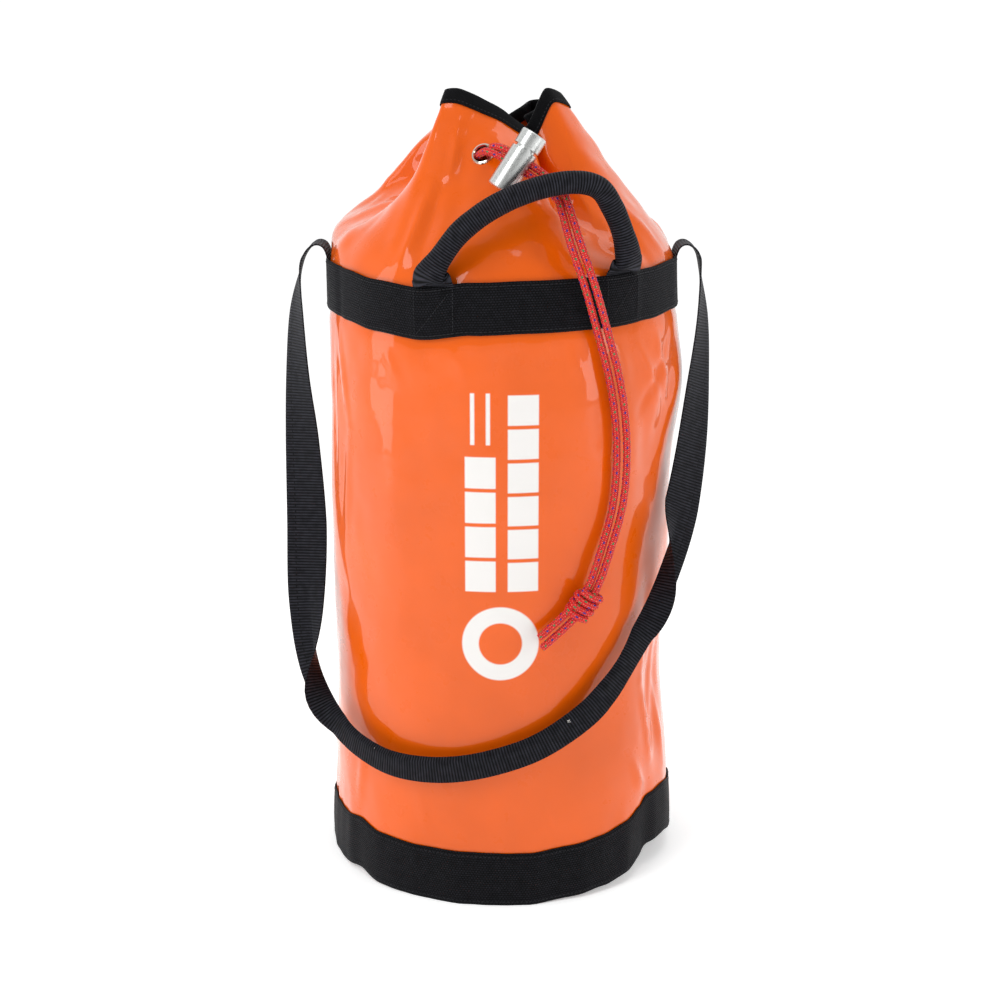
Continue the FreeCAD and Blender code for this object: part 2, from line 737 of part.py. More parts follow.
doc.recompute()
for thing in doc.Objects:
    if "Invalid" in thing.State or "Error" in thing.State:
        raise RuntimeError("%s failed to build: %s" % (thing.Label, thing.State))
os.makedirs("parts", exist_ok=True)
for piece in pieces:
    shape = piece.Shape
    if shape.isNull() or not shape.isValid() or shape.Volume <= 0:
        raise RuntimeError("%s has no sound shape" % piece.Label)
    if len(piece.Label) >= LONGEST_NAME:
        raise RuntimeError("%s has too long a name" % piece.Label)
    shape.exportStep(os.path.join("parts", piece.Label + ".step"))
print("%d pieces written" % len(pieces))
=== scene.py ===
import math

import bmesh
import bpy
from bpy.props import FloatProperty, FloatVectorProperty, IntProperty, PointerProperty
from mathutils import Matrix, Vector, noise


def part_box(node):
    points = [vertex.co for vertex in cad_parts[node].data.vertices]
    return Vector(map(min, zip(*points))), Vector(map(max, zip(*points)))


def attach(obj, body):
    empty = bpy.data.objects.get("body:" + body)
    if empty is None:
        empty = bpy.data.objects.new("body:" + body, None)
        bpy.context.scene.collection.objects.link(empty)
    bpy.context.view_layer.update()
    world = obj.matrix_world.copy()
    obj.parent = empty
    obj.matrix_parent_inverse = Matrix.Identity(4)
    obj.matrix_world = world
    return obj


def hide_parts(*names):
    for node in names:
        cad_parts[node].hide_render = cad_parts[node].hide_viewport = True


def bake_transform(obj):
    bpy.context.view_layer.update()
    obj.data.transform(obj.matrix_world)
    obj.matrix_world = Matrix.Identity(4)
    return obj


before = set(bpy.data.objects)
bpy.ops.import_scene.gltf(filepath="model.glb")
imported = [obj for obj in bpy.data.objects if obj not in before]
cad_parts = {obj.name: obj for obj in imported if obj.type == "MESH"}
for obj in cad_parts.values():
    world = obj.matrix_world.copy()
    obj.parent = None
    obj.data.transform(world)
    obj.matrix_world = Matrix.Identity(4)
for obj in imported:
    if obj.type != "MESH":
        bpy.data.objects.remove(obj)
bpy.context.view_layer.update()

bl_info = {
    "name": "Rope bag",
    "version": (1, 0, 0),
    "blender": (4, 5, 0),
    "location": "3D View > Sidebar > Rope bag",
    "description": "Drawcord rope bag of coated fabric with webbing bands, strap and handle",
    "category": "Add Mesh",
}

MM = 0.001
UP = Vector((0, 0, 1))
FRONT = Vector((0, -1, 0))

BAND_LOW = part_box("upper_band")[0][2]
BAND_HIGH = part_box("upper_band")[1][2]
FOOT_BAND_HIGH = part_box("bottom_band")[1][2]
WALL_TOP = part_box("body_panel")[1][2]
MM_A_DEGREE = 2.5


def linear(hex_colour):
    """An sRGB hex colour as linear red, green, blue and alpha."""
    shares = [int(hex_colour[at:at + 2], 16) / 255 for at in (1, 3, 5)]
    return tuple(s / 12.92 if s <= 0.04045 else ((s + 0.055) / 1.055) ** 2.4 for s in shares) + (1.0,)


# ---------------------------------------------------------------- sizes and colours that a user would change

class RopeBagSizes(bpy.types.PropertyGroup):
    """Sizes of the cloth goods."""

    foot_radius: FloatProperty(
        name="Foot radius", description="Outside of the side wall at the floor", default=0.1449,
        unit="LENGTH")
    neck_radius: FloatProperty(
        name="Neck radius", description="Outside of the side wall under the upper band", default=0.1416,
        unit="LENGTH")
    sheet_thickness: FloatProperty(
        name="Sheet thickness", description="Coated fabric of the wall and the collar", default=0.0009,
        unit="LENGTH")
    webbing_thickness: FloatProperty(
        name="Webbing thickness", description="Bands, strap and handle tabs", default=0.0016, unit="LENGTH")
    strap_width: FloatProperty(
        name="Strap width", description="Webbing of the shoulder strap", default=0.040, unit="LENGTH")
    handle_radius: FloatProperty(
        name="Handle radius", description="Half the thickness of the stuffed grip", default=0.0087,
        unit="LENGTH")
    cord_diameter: FloatProperty(
        name="Cord diameter", description="Braided drawcord", default=0.006, unit="LENGTH")
    binding_depth: FloatProperty(
        name="Binding depth", description="How far the rim tape reaches down", default=0.012, unit="LENGTH")
    crease_depth: FloatProperty(
        name="Crease depth", description="Height of the small creases of the collar", default=0.0012,
        unit="LENGTH")
    fold_steps: IntProperty(
        name="Fold steps", description="Strips of mesh between two folds of the collar", default=10, min=4)


class RopeBagColours(bpy.types.PropertyGroup):
    """Colours of the materials."""

    coated_fabric: FloatVectorProperty(
        name="Coated fabric", description="Face of the PVC sheet", subtype="COLOR", size=4,
        default=linear("#e65d00"))
    ink: FloatVectorProperty(
        name="Ink", description="Printed mark on the front", subtype="COLOR", size=4,
        default=linear("#e9e7e4"))
    webbing: FloatVectorProperty(
        name="Webbing", description="Polyester webbing", subtype="COLOR", size=4, default=linear("#0b0b0e"))
    cord: FloatVectorProperty(
        name="Cord", description="Cover of the drawcord", subtype="COLOR", size=4, default=linear("#d01418"))
    # Pink specks of the drawcord: light yarns, and partly a painted highlight on the braid.
    fleck_and_highlight: FloatVectorProperty(
        name="Fleck", description="Light yarns of the drawcord", subtype="COLOR", size=4,
        default=linear("#e87864"))
    aluminium: FloatVectorProperty(
        name="Aluminium", description="Turned cord lock", subtype="COLOR", size=4, default=linear("#dadcda"))


# ---------------------------------------------------------------- mesh helpers

def smooth_through(points, steps, ring=False):
    """Points of a smooth curve through the given ones, with a number of steps for each span."""
    count = len(points)
    result = []
    for k in range(count if ring else count - 1):
        before, here, there, after = (
            points[(k + off) % count] if ring else points[min(max(k + off, 0), count - 1)]
            for off in (-1, 0, 1, 2))
        for step in range(steps):
            t = step / steps
            bend = before * 2 - here * 5 + there * 4 - after
            twist = here * 3 - before - there * 3 + after
            result.append((here * 2 + (there - before) * t + bend * t**2 + twist * t**3) * 0.5)
    if not ring:
        result.append(points[-1] * 1.0)
    return result


def smoothstep(low, high, value):
    """0 below low, 1 above high, and a smooth rise between them."""
    share = min(max((value - low) / (high - low), 0.0), 1.0)
    return share * share * (3 - 2 * share)


def table_value(table, at, period=360.0):
    """A smooth value round the bag from pairs of azimuth and value."""
    count = len(table)
    at %= period
    for k in range(count):
        low, high = table[k][0] % period, table[(k + 1) % count][0] % period
        span = (high - low) % period
        past = (at - low) % period
        if past <= span:
            share = smoothstep(0, 1, past / span)
            return table[k][1] * (1 - share) + table[(k + 1) % count][1] * share
    return table[0][1]


def round_the_bag(azimuth, radius, height):
    """A point by its azimuth, in degrees from the front towards +X."""
    angle = math.radians(azimuth)
    return Vector((radius * math.sin(angle), -radius * math.cos(angle), height))


def centre_of(points):
    return sum(points, Vector()) / len(points)


def select_nothing():
    """Leaves edit mode and deselects everything."""
    if bpy.context.object and bpy.context.object.mode != "OBJECT":
        bpy.ops.object.mode_set(mode="OBJECT")
    bpy.ops.object.select_all(action="DESELECT")


def alone(piece):
    """Selects one piece and nothing else."""
    select_nothing()
    piece.select_set(True)
    bpy.context.view_layer.objects.active = piece


def new_piece(name, mesh):
    piece = bpy.data.objects.new(name, mesh)
    bpy.context.collection.objects.link(piece)
    alone(piece)
    return piece


def skin(name, sections, ring=True, loop=False, capped=False):
    """A mesh skinned over sections of points. Its UV map is in metres, U round a section and V along them.

    A ring closes each section, a loop joins the last section to the first, and caps close both ends.
    """
    count, corners = len(sections), len(sections[0])
    strips = count if loop else count - 1
    cells = corners if ring else corners - 1
    faces = []
    for s in range(strips):
        for c in range(cells):
            here, there, d = s * corners, (s + 1) % count * corners, (c + 1) % corners
            faces.append((here + c, there + c, there + d, here + d))
    if capped:
        faces.append(tuple(range(corners)))
        faces.append(tuple(range((count - 1) * corners, count * corners)))
    mesh = bpy.data.meshes.new(name)
    mesh.from_pydata([point for section in sections for point in section], [], faces)
    along = [0.0]
    for s in range(strips):
        along.append(along[-1] + (centre_of(sections[(s + 1) % count]) - centre_of(sections[s])).length)
    middle = sections[count // 2]
    across = [0.0]
    for c in range(cells):
        across.append(across[-1] + (middle[(c + 1) % corners] - middle[c]).length)
    layer = mesh.uv_layers.new(name="UVMap").data
    loop_index = 0
    for s in range(strips):
        for c in range(cells):
            for u, v in ((c, s), (c, s + 1), (c + 1, s + 1), (c + 1, s)):
                layer[loop_index].uv = (across[u], along[v])
                loop_index += 1
    return new_piece(name, mesh)


def face_outwards(piece):
    """Merges doubles and turns a closed piece's faces outwards."""
    alone(piece)
    bpy.ops.object.mode_set(mode="EDIT")
    bpy.ops.mesh.select_all(action="SELECT")
    bpy.ops.mesh.remove_doubles(threshold=0.00001)
    bpy.ops.mesh.normals_make_consistent(inside=False)
    bpy.ops.object.mode_set(mode="OBJECT")


def finish_modifier(piece, kind, **settings):
    """Adds a modifier and applies it."""
    alone(piece)
    modifier = piece.modifiers.new(kind, kind)
    for name, value in settings.items():
        setattr(modifier, name, value)
    bpy.ops.object.modifier_apply(modifier=modifier.name)


def hand_in(piece, body, slot, material, *nodes, angle=50):
    """Gives a piece its material, its smooth shading and its body, and hides the CAD nodes that it stands
    for.
    """
    piece.data.materials.clear()
    piece.data.materials.append(material)
    alone(piece)
    bpy.ops.object.shade_smooth_by_angle(angle=math.radians(angle))
    if body:
        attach(piece, body)
    if nodes:
        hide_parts(*nodes)
    return piece


# ---------------------------------------------------------------- materials

def add(tree, kind, inputs=None, **settings):
    """Adds a node. Inputs are given by name or number, each a value or the socket that feeds it."""
    made = tree.nodes.new("ShaderNode" + kind)
    for name, value in settings.items():
        setattr(made, name, value)
    for key, value in (inputs or {}).items():
        if isinstance(value, bpy.types.NodeSocket):
            tree.links.new(value, made.inputs[key])
        else:
            made.inputs[key].default_value = value
    return made


def calc(tree, operation, *values):
    """The result of one step of arithmetic."""
    return add(tree, "Math", dict(enumerate(values)), operation=operation).outputs[0]


def spread(tree, value, low, high, to_low=0.0, to_high=1.0):
    """A value mapped from one range to another, and kept within it."""
    return add(tree, "MapRange", {"Value": value, "From Min": low, "From Max": high, "To Min": to_low,
                                  "To Max": to_high}).outputs[0]


def mix(tree, share, first, second):
    """A colour between two others."""
    return add(tree, "Mix", {0: share, 6: first, 7: second}, data_type="RGBA").outputs[2]


def new_material(name, finish):
    """A material whose Principled shader has its fixed values set on its own sockets."""
    material = bpy.data.materials.new(name)
    material.use_nodes = True
    shader = material.node_tree.nodes["Principled BSDF"]
    for socket, value in finish.items():
        shader.inputs[socket].default_value = value
    return material, material.node_tree, shader


def shade(colour, factor):
    """A colour made darker or lighter."""
    return tuple(min(channel * factor, 1.0) for channel in colour[:3]) + (1.0,)


def near(tree, coordinate, middle, reach, blur=0.0005):
    """1 where a coordinate is within reach of a middle value, and 0 further off."""
    off = calc(tree, "ABSOLUTE", calc(tree, "SUBTRACT", coordinate, middle))
    return spread(tree, off, reach + blur, reach - blur)


# The plain mark printed on the front, in metres. Rectangles: centre, half size and how many blocks each is
# cut into. Under them stands a ring.
MARK_RECTANGLES = [
    ((-0.0165, 0.318), (0.0118, 0.055), 4), ((0.0165, 0.342), (0.0118, 0.079), 6),
    ((-0.0225, 0.401), (0.0016, 0.020), 1), ((-0.0105, 0.401), (0.0016, 0.020), 1),
]
BLOCK_GAP = 0.003
RING_CENTRE = (-0.001, 0.0, 0.222)
RING_RADIUS = 0.0235
RING_HALF_WIDTH = 0.0065


def printed_mark(tree, place):
    """1 on the ink of the printed mark and 0 beside it."""
    across, depth, height = add(tree, "SeparateXYZ", {0: place}).outputs
    flat = add(tree, "CombineXYZ", {0: across, 2: height}).outputs[0]
    reach = add(tree, "VectorMath", {0: flat, 1: RING_CENTRE}, operation="DISTANCE").outputs["Value"]
    mask = near(tree, reach, RING_RADIUS, RING_HALF_WIDTH, blur=0.0006)
    for centre, half, blocks in MARK_RECTANGLES:
        inside = calc(tree, "MULTIPLY", near(tree, across, centre[0], half[0]),
                      near(tree, height, centre[1], half[1]))
        if blocks > 1:
            pitch = 2 * half[1] / blocks
            along = calc(tree, "WRAP", calc(tree, "SUBTRACT", height, centre[1] - half[1]), pitch, 0.0)
            inside = calc(tree, "MULTIPLY", inside, near(tree, along, pitch / 2, (pitch - BLOCK_GAP) / 2))
        mask = calc(tree, "MAXIMUM", mask, inside)
    return calc(tree, "MULTIPLY", mask, calc(tree, "LESS_THAN", depth, 0.0))


def pvc_tarpaulin():
    """Tarpaulin of polyester scrim, calendered on both sides with soft PVC. The thick clear coating gives
    broad bright reflections and a fainter broken gloss, and the scrim under it only just shows."""
    colours = bpy.context.scene.rope_bag_colours
    material, tree, shader = new_material("pvc_coated_polyester", {
        "IOR": 1.52, "Specular IOR Level": 0.12, "Coat Weight": 0.75, "Coat Roughness": 0.04,
        "Coat IOR": 1.46})
    place = add(tree, "TexCoord").outputs["Object"]
    uv = add(tree, "UVMap").outputs["UV"]
    clouds = add(tree, "TexNoise", {"Vector": place, "Scale": 14.0, "Detail": 3.0}).outputs["Fac"]
    tone = spread(tree, clouds, 0.3, 0.7)
    face = mix(tree, tone, shade(colours.coated_fabric, 0.93), shade(colours.coated_fabric, 1.05))
    mask = printed_mark(tree, place)
    colour = mix(tree, mask, face, tuple(colours.ink))
    tree.links.new(colour, shader.inputs["Base Color"])
    # Handling leaves the coating duller in patches of some 20 mm, and the ink is duller than the sheet.
    scuffs = add(tree, "TexNoise", {"Vector": place, "Scale": 48.0, "Detail": 5.0,
                                    "Roughness": 0.6}).outputs["Fac"]
    dull = spread(tree, scuffs, 0.35, 0.75, 0.26, 0.40)
    roughness = add(tree, "Mix", {0: mask, 2: dull, 3: 0.45}, data_type="FLOAT").outputs[0]
    tree.links.new(roughness, shader.inputs["Roughness"])
    # Scrim yarns stand about 1 mm apart. They are drawn 2 mm apart, so that they show at all.
    scrim = add(tree, "TexBrick", {"Vector": uv, "Scale": 500.0, "Mortar Size": 0.12, "Mortar Smooth": 1.0,
                                   "Brick Width": 1.0, "Row Height": 1.0}, offset=0.0).outputs["Fac"]
    fine = add(tree, "Bump", {"Height": scrim, "Strength": 0.05, "Distance": 0.0002}).outputs[0]
    waves = add(tree, "TexNoise", {"Vector": place, "Scale": 22.0, "Detail": 2.0}).outputs["Fac"]
    soft = add(tree, "Bump", {"Height": waves, "Strength": 0.35, "Distance": 0.004,
                              "Normal": fine}).outputs[0]
    tree.links.new(soft, shader.inputs["Normal"])
    coat = add(tree, "Bump", {"Height": waves, "Strength": 0.22, "Distance": 0.004}).outputs[0]
    tree.links.new(coat, shader.inputs["Coat Normal"])
    return material


def woven(name, rib, float_length, depth, light, offset=0.5):
    """Polyester webbing or tape. rib is the weft spacing along the piece and float_length the warp's, in
    millimetres. The base colour is painted: a painted highlight on the crests, light times the webbing
    colour and broken up by noise, and painted shade that leaves the gaps between the yarns nearly black."""
    base = bpy.context.scene.rope_bag_colours.webbing
    material, tree, shader = new_material(name, {
        "Roughness": 0.55, "IOR": 1.5, "Specular IOR Level": 0.07, "Sheen Weight": 0.03,
        "Sheen Roughness": 0.45, "Sheen Tint": (0.8, 0.82, 0.9, 1.0)})
    uv = add(tree, "UVMap").outputs["UV"]
    cells = add(tree, "TexBrick", {
        "Vector": uv, "Scale": 1000.0, "Mortar Size": 0.42 * min(rib, float_length), "Mortar Smooth": 1.0,
        "Brick Width": float_length, "Row Height": rib}, offset=offset).outputs["Fac"]
    crest = calc(tree, "SUBTRACT", 1.0, cells)
    # Painted highlight and painted shade: noise breaks up the painted crest highlight, and the base colour
    # runs from 0.35 of the webbing colour in the gaps to light times it on the crests.
    glint_breakup = add(tree, "TexNoise", {"Vector": uv, "Scale": 160.0, "Detail": 4.0}).outputs["Fac"]
    lit = calc(tree, "MULTIPLY", crest, glint_breakup)
    shown = spread(tree, lit, 0.05, 0.62)
    tone = mix(tree, shown, shade(base, 0.35), shade(base, light))
    tree.links.new(tone, shader.inputs["Base Color"])
    bump = add(tree, "Bump", {"Height": crest, "Strength": 0.9, "Distance": depth * MM}).outputs[0]
    tree.links.new(bump, shader.inputs["Normal"])
    return material


def braided_cover():
    """Polyester cover braided from sixteen carriers: red yarns, some pink, and blue and green tracers. The
    slanted yarns give it chevrons, with a painted highlight on their crests and painted shade between them.
    The pink specks are light yarns and partly a painted highlight."""
    colours = bpy.context.scene.rope_bag_colours
    material, tree, shader = new_material("braided_polyester_cover", {
        "Roughness": 0.5, "IOR": 1.5, "Specular IOR Level": 0.3, "Sheen Weight": 0.08,
        "Sheen Roughness": 0.4, "Sheen Tint": (1.0, 0.5, 0.45, 1.0)})
    split = add(tree, "SeparateXYZ", {0: add(tree, "UVMap").outputs["UV"]})
    around, along = split.outputs[0], split.outputs[1]
    girth = math.pi * bpy.context.scene.rope_bag_sizes.cord_diameter
    waves = []
    for side in (1, -1):
        turn = calc(tree, "MULTIPLY", around, side * math.tau * 4 / girth)
        run = calc(tree, "MULTIPLY_ADD", along, math.tau / (3.2 * MM), turn)
        waves.append(calc(tree, "SINE", run))
    crest = calc(tree, "MAXIMUM", waves[0], waves[1])
    # Painted shade and painted highlight: the colour runs from 0.35 of the cord colour between the yarns to
    # 1.15 of it on their crests.
    body = spread(tree, crest, -0.6, 1.0)
    cover = mix(tree, body, shade(colours.cord, 0.35), shade(colours.cord, 1.15))
    # Pink specks where the two yarn waves meet: light yarns, and partly a painted highlight.
    both = calc(tree, "MULTIPLY", waves[0], waves[1])
    specks_and_highlight = spread(tree, both, 0.35, 0.85)
    flecked_and_highlighted = mix(tree, specks_and_highlight, cover, tuple(colours.fleck_and_highlight))
    # Tracers: a spot 2.2 mm long every 7 mm on each of five lines, blue and green by turns.
    column = calc(tree, "MULTIPLY", around, 5 / girth)
    line = calc(tree, "FLOOR", column)
    in_line = calc(tree, "FRACT", column)
    shift = calc(tree, "MULTIPLY", line, 0.457)
    count = calc(tree, "MULTIPLY_ADD", along, 1 / (7 * MM), shift)
    in_spot = calc(tree, "FRACT", count)
    near = []
    for share, reach in ((in_line, 0.17), (in_spot, 0.14)):
        off = calc(tree, "SUBTRACT", share, 0.5)
        size = calc(tree, "ABSOLUTE", off)
        near.append(calc(tree, "LESS_THAN", size, reach))
    spot = calc(tree, "MULTIPLY", near[0], near[1])
    half = calc(tree, "MULTIPLY", count, 0.5)
    odd = calc(tree, "GREATER_THAN", calc(tree, "FRACT", half), 0.5)
    tracer = mix(tree, odd, linear("#1c2a86"), linear("#2f7d4a"))
    final = mix(tree, spot, flecked_and_highlighted, tracer)
    tree.links.new(final, shader.inputs["Base Color"])
    bump = add(tree, "Bump", {"Height": crest, "Strength": 0.7, "Distance": 0.0003}).outputs[0]
    tree.links.new(bump, shader.inputs["Normal"])
    return material


def turned_aluminium():
    """Aluminium turned on a lathe and tumbled: fine rings round its axis, with a satin, grainy gloss."""
    colours = bpy.context.scene.rope_bag_colours
    material, tree, shader = new_material("turned_aluminium", {"Metallic": 1.0})
    lean = lock_axis().rotation_difference(UP).to_euler()
    place = add(tree, "Mapping", {"Vector": add(tree, "TexCoord").outputs["Object"],
                                  "Rotation": tuple(lean)}).outputs[0]
    # Tool marks are some 0.1 mm apart. They are drawn 0.6 mm apart, so that they show.
    rings = add(tree, "TexWave", {"Vector": place, "Scale": 0.314 / (0.6 * MM), "Distortion": 0.4},
                bands_direction="Z").outputs["Fac"]
    grain = add(tree, "TexNoise", {"Vector": place, "Scale": 1800.0, "Detail": 3.0}).outputs["Fac"]
    tone = spread(tree, grain, 0.3, 0.7)
    colour = mix(tree, tone, shade(colours.aluminium, 0.8), shade(colours.aluminium, 1.05))
    tree.links.new(colour, shader.inputs["Base Color"])
    rough = spread(tree, grain, 0.3, 0.7, 0.22, 0.42)
    tree.links.new(rough, shader.inputs["Roughness"])
    height = calc(tree, "MULTIPLY_ADD", rings, 0.5, grain)
    bump = add(tree, "Bump", {"Height": height, "Strength": 0.16, "Distance": 0.0002}).outputs[0]
    tree.links.new(bump, shader.inputs["Normal"])
    return material


def bright_metal(name, hex_colour, roughness):
    """Plated or drawn metal: mirror-like, broken up by fine handling marks."""
    material, tree, shader = new_material(name, {"Metallic": 1.0, "Base Color": linear(hex_colour)})
    place = add(tree, "TexCoord").outputs["Object"]
    marks = add(tree, "TexNoise", {"Vector": place, "Scale": 400.0, "Detail": 3.0}).outputs["Fac"]
    rough = spread(tree, marks, 0.0, 1.0, roughness * 0.6, roughness * 1.5)
    tree.links.new(rough, shader.inputs["Roughness"])
    bump = add(tree, "Bump", {"Height": marks, "Strength": 0.1, "Distance": 0.0001}).outputs[0]
    tree.links.new(bump, shader.inputs["Normal"])
    return material


def sewing_thread(name, hex_colour):
    """Bonded polyester thread, twisted, with a low silky gloss."""
    material, tree, shader = new_material(name, {"Roughness": 0.5, "IOR": 1.5, "Specular IOR Level": 0.2})
    place = add(tree, "TexCoord").outputs["Object"]
    twist = add(tree, "TexNoise", {"Vector": place, "Scale": 700.0, "Detail": 2.0}).outputs["Fac"]
    base = linear(hex_colour)
    tone = mix(tree, twist, shade(base, 0.6), shade(base, 1.25))
    tree.links.new(tone, shader.inputs["Base Color"])
    return material


def studio_paper():
    """Seamless white paper: matt, with a faint tooth."""
    material, tree, shader = new_material("seamless_paper", {
        "Roughness": 0.9, "Specular IOR Level": 0.2, "Emission Color": linear("#ffffff"),
        "Emission Strength": 0.36})
    place = add(tree, "TexCoord").outputs["Object"]
    tooth = add(tree, "TexNoise", {"Vector": place, "Scale": 30.0}).outputs["Fac"]
    tone = mix(tree, tooth, linear("#fafafa"), linear("#ffffff"))
    tree.links.new(tone, shader.inputs["Base Color"])
    return material


MATERIALS = {}


def finish_named(name):
    """One of the bag's materials, made when it is first asked for."""
    makers = {
        "sheet": pvc_tarpaulin,
        # The last number of each woven finish sets how bright its painted crest highlight is.
        "band": lambda: woven("herringbone_polyester_webbing", 1.9, 2.4, 0.6, 4.2),
        "strap": lambda: woven("ribbed_polyester_webbing", 2.4, 60.0, 0.8, 8.0),
        "handle": lambda: woven("tubular_polyester_webbing", 2.1, 60.0, 0.9, 10.0),
        "binding": lambda: woven("polyester_binding_tape", 1.0, 1.6, 0.25, 1.6),
        "base": lambda: woven("coated_base_cloth", 1.2, 1.2, 0.15, 1.4, offset=0.0),
        "cord": braided_cover,
        "aluminium": turned_aluminium,
        "nickel": lambda: bright_metal("nickel_plated_brass", "#d6cfc4", 0.14),
        "spring": lambda: bright_metal("drawn_spring_steel", "#a8a8a6", 0.3),
        "black_thread": lambda: sewing_thread("black_bonded_thread", "#242428"),
        "white_thread": lambda: sewing_thread("white_bonded_thread", "#cfcdc8"),
        "paper": studio_paper,
    }
    if name not in MATERIALS:
        MATERIALS[name] = makers[name]()
    return MATERIALS[name]


# ---------------------------------------------------------------- side wall

# Each dent: azimuth, height, depth inwards, half width in degrees, half height, and lean in degrees for each
# 100 mm. Heights and depths are in millimetres, and a negative depth is a bulge.
WALL_DENTS = [
    (84, 412, -8.0, 26, 44, 0), (78, 170, 9.0, 30, 70, 0), (62, 330, 3.0, 16, 60, 6),
    (97, 330, 2.0, 14, 50, 0), (52, 395, 2.4, 5, 60, -9), (66, 400, 2.6, 5, 42, 14),
    (70, 140, 3.0, 4, 60, 8), (60, 200, 2.2, 5, 80, -6), (-62, 380, 2.2, 9, 90, 0),
    (-48, 300, 1.6, 10, 130, 3), (-24, 330, 1.8, 13, 120, 0), (-70, 330, -1.5, 9, 70, 0),
    (6, 120, 1.6, 12, 46, 10), (-8, 60, 1.5, 14, 20, 0), (20, 300, 1.4, 14, 150, -4),
    (35, 160, 2.0, 10, 60, 10), (-40, 130, 2.0, 18, 50, -8), (128, 260, 5.0, 22, 110, 0),
    (172, 330, 3.5, 26, 90, 0), (150, 130, 4.0, 20, 60, 8), (214, 220, 5.0, 24, 100, -4),
    (250, 360, 3.0, 18, 70, 0), (268, 160, 3.0, 22, 70, 0), (196, 420, -3.0, 26, 40, 0),
]
# How far each band sits above its nominal height, by azimuth, in millimetres.
UPPER_BAND_RISE = [
    (-73, 4), (-58, 2), (-43, -2), (-26, -5), (-9, 0), (8, 1.5), (35, 2.5), (53, 4.5), (68, 6.5),
    (90, 5), (140, 2), (200, 3), (250, 2),
]
FOOT_BAND_RISE = [
    (-90, 1), (-66, 1.5), (-54, 5), (-44, 1), (-26, 0), (8, 0), (22, 2), (35, 5), (46, 9), (54, 14),
    (60, 20), (70, 21), (82, 15), (105, 6), (140, 0), (200, 2), (240, 0),
]
# Creases of the wall: azimuth and height of both ends, height of the crease and half width. Degrees and mm.
WALL_CREASES = [
    (46, 456, 60, 404, 2.6, 8), (57, 458, 67, 392, 2.6, 8), (67, 452, 50, 396, -2.4, 9),
    (38, 456, 44, 428, 1.6, 8), (61, 245, 55, 170, 2.4, 8), (55, 170, 61, 92, 2.8, 8),
    (67, 205, 62, 112, -2.2, 9), (48, 108, 56, 62, 2.8, 9), (70, 170, 74, 70, 2.2, 9),
    (-67, 452, -60, 380, 2.0, 7), (-60, 380, -63, 285, 1.7, 8), (-75, 440, -70, 330, -1.6, 8),
    (-40, 456, -35, 424, 1.3, 8), (22, 456, 25, 428, 1.0, 8), (-16, 458, -12, 432, 1.0, 8),
    (-52, 120, -56, 54, 1.8, 9), (14, 84, 18, 48, 1.5, 9), (-28, 90, -24, 50, 1.4, 9),
    (100, 452, 108, 380, 2.2, 9), (130, 300, 124, 190, 2.2, 10), (146, 456, 152, 400, 1.8, 9),
    (170, 110, 164, 52, 2.0, 9), (205, 456, 198, 400, 1.8, 9), (222, 300, 230, 180, 2.2, 10),
    (252, 450, 246, 380, 2.0, 9), (262, 150, 268, 54, 2.2, 9), (236, 110, 232, 54, 1.8, 9),
]


def wall_crease(azimuth, level):
    """How far the wall's creases lift a point, in millimetres."""
    lift = 0.0
    for low_turn, low, high_turn, high, rise, wide in WALL_CREASES:
        across = ((azimuth - low_turn + 180) % 360 - 180) * MM_A_DEGREE
        if abs(across) < 60:
            run = Vector(((high_turn - low_turn) * MM_A_DEGREE, high - low))
            place = Vector((across, level - low))
            share = min(max(place.dot(run) / run.length_squared, 0.0), 1.0)
            ends = math.sin(math.pi * min(max(share, 0.06), 0.94)) ** 0.7
            lift += rise * ends * max(0.0, 1 - (place - run * share).length / wide) ** 1.4
    return lift


def upper_rise(azimuth):
    return table_value(UPPER_BAND_RISE, azimuth) * MM


def foot_rise(azimuth):
    return table_value(FOOT_BAND_RISE, azimuth) * MM


def wall_radius(azimuth, height):
    """The outside of the side wall, with its dents and its puckers next to the bands."""
    sizes = bpy.context.scene.rope_bag_sizes
    radius = sizes.foot_radius + (sizes.neck_radius - sizes.foot_radius) * min(height / 0.455, 1.0)
    level = height / MM
    for middle, at, depth, wide, tall, lean in WALL_DENTS:
        off = ((azimuth - middle - lean * (level - at) / 100 + 180) % 360 - 180) / wide
        rise = (level - at) / tall
        if abs(off) < 3 and abs(rise) < 3:
            radius -= depth * MM * math.exp(-off * off - rise * rise)
    # The foot is pushed in at the right of the front.
    pinch = ((azimuth - 57 + 180) % 360 - 180) / 7
    radius -= 5.5 * MM * math.exp(-pinch * pinch) * smoothstep(0.12, 0.0, height)
    spot = round_the_bag(azimuth, 1.0, height * 4)
    radius += 1.1 * MM * noise.noise(spot * 3.1) + 0.5 * MM * noise.noise(spot * 8.3)
    radius += wall_crease(azimuth, level) * MM * (1 - smoothstep(0.448, 0.46, height))
    edge = max(smoothstep(0.085, 0.045, height), smoothstep(0.425, 0.462, height))
    angle = math.radians(azimuth)
    pucker = noise.noise(Vector((math.cos(angle) * 9, math.sin(angle) * 9, 2.0)))
    return radius + 1.3 * MM * edge * pucker * (1 - smoothstep(0.44, 0.463, height))


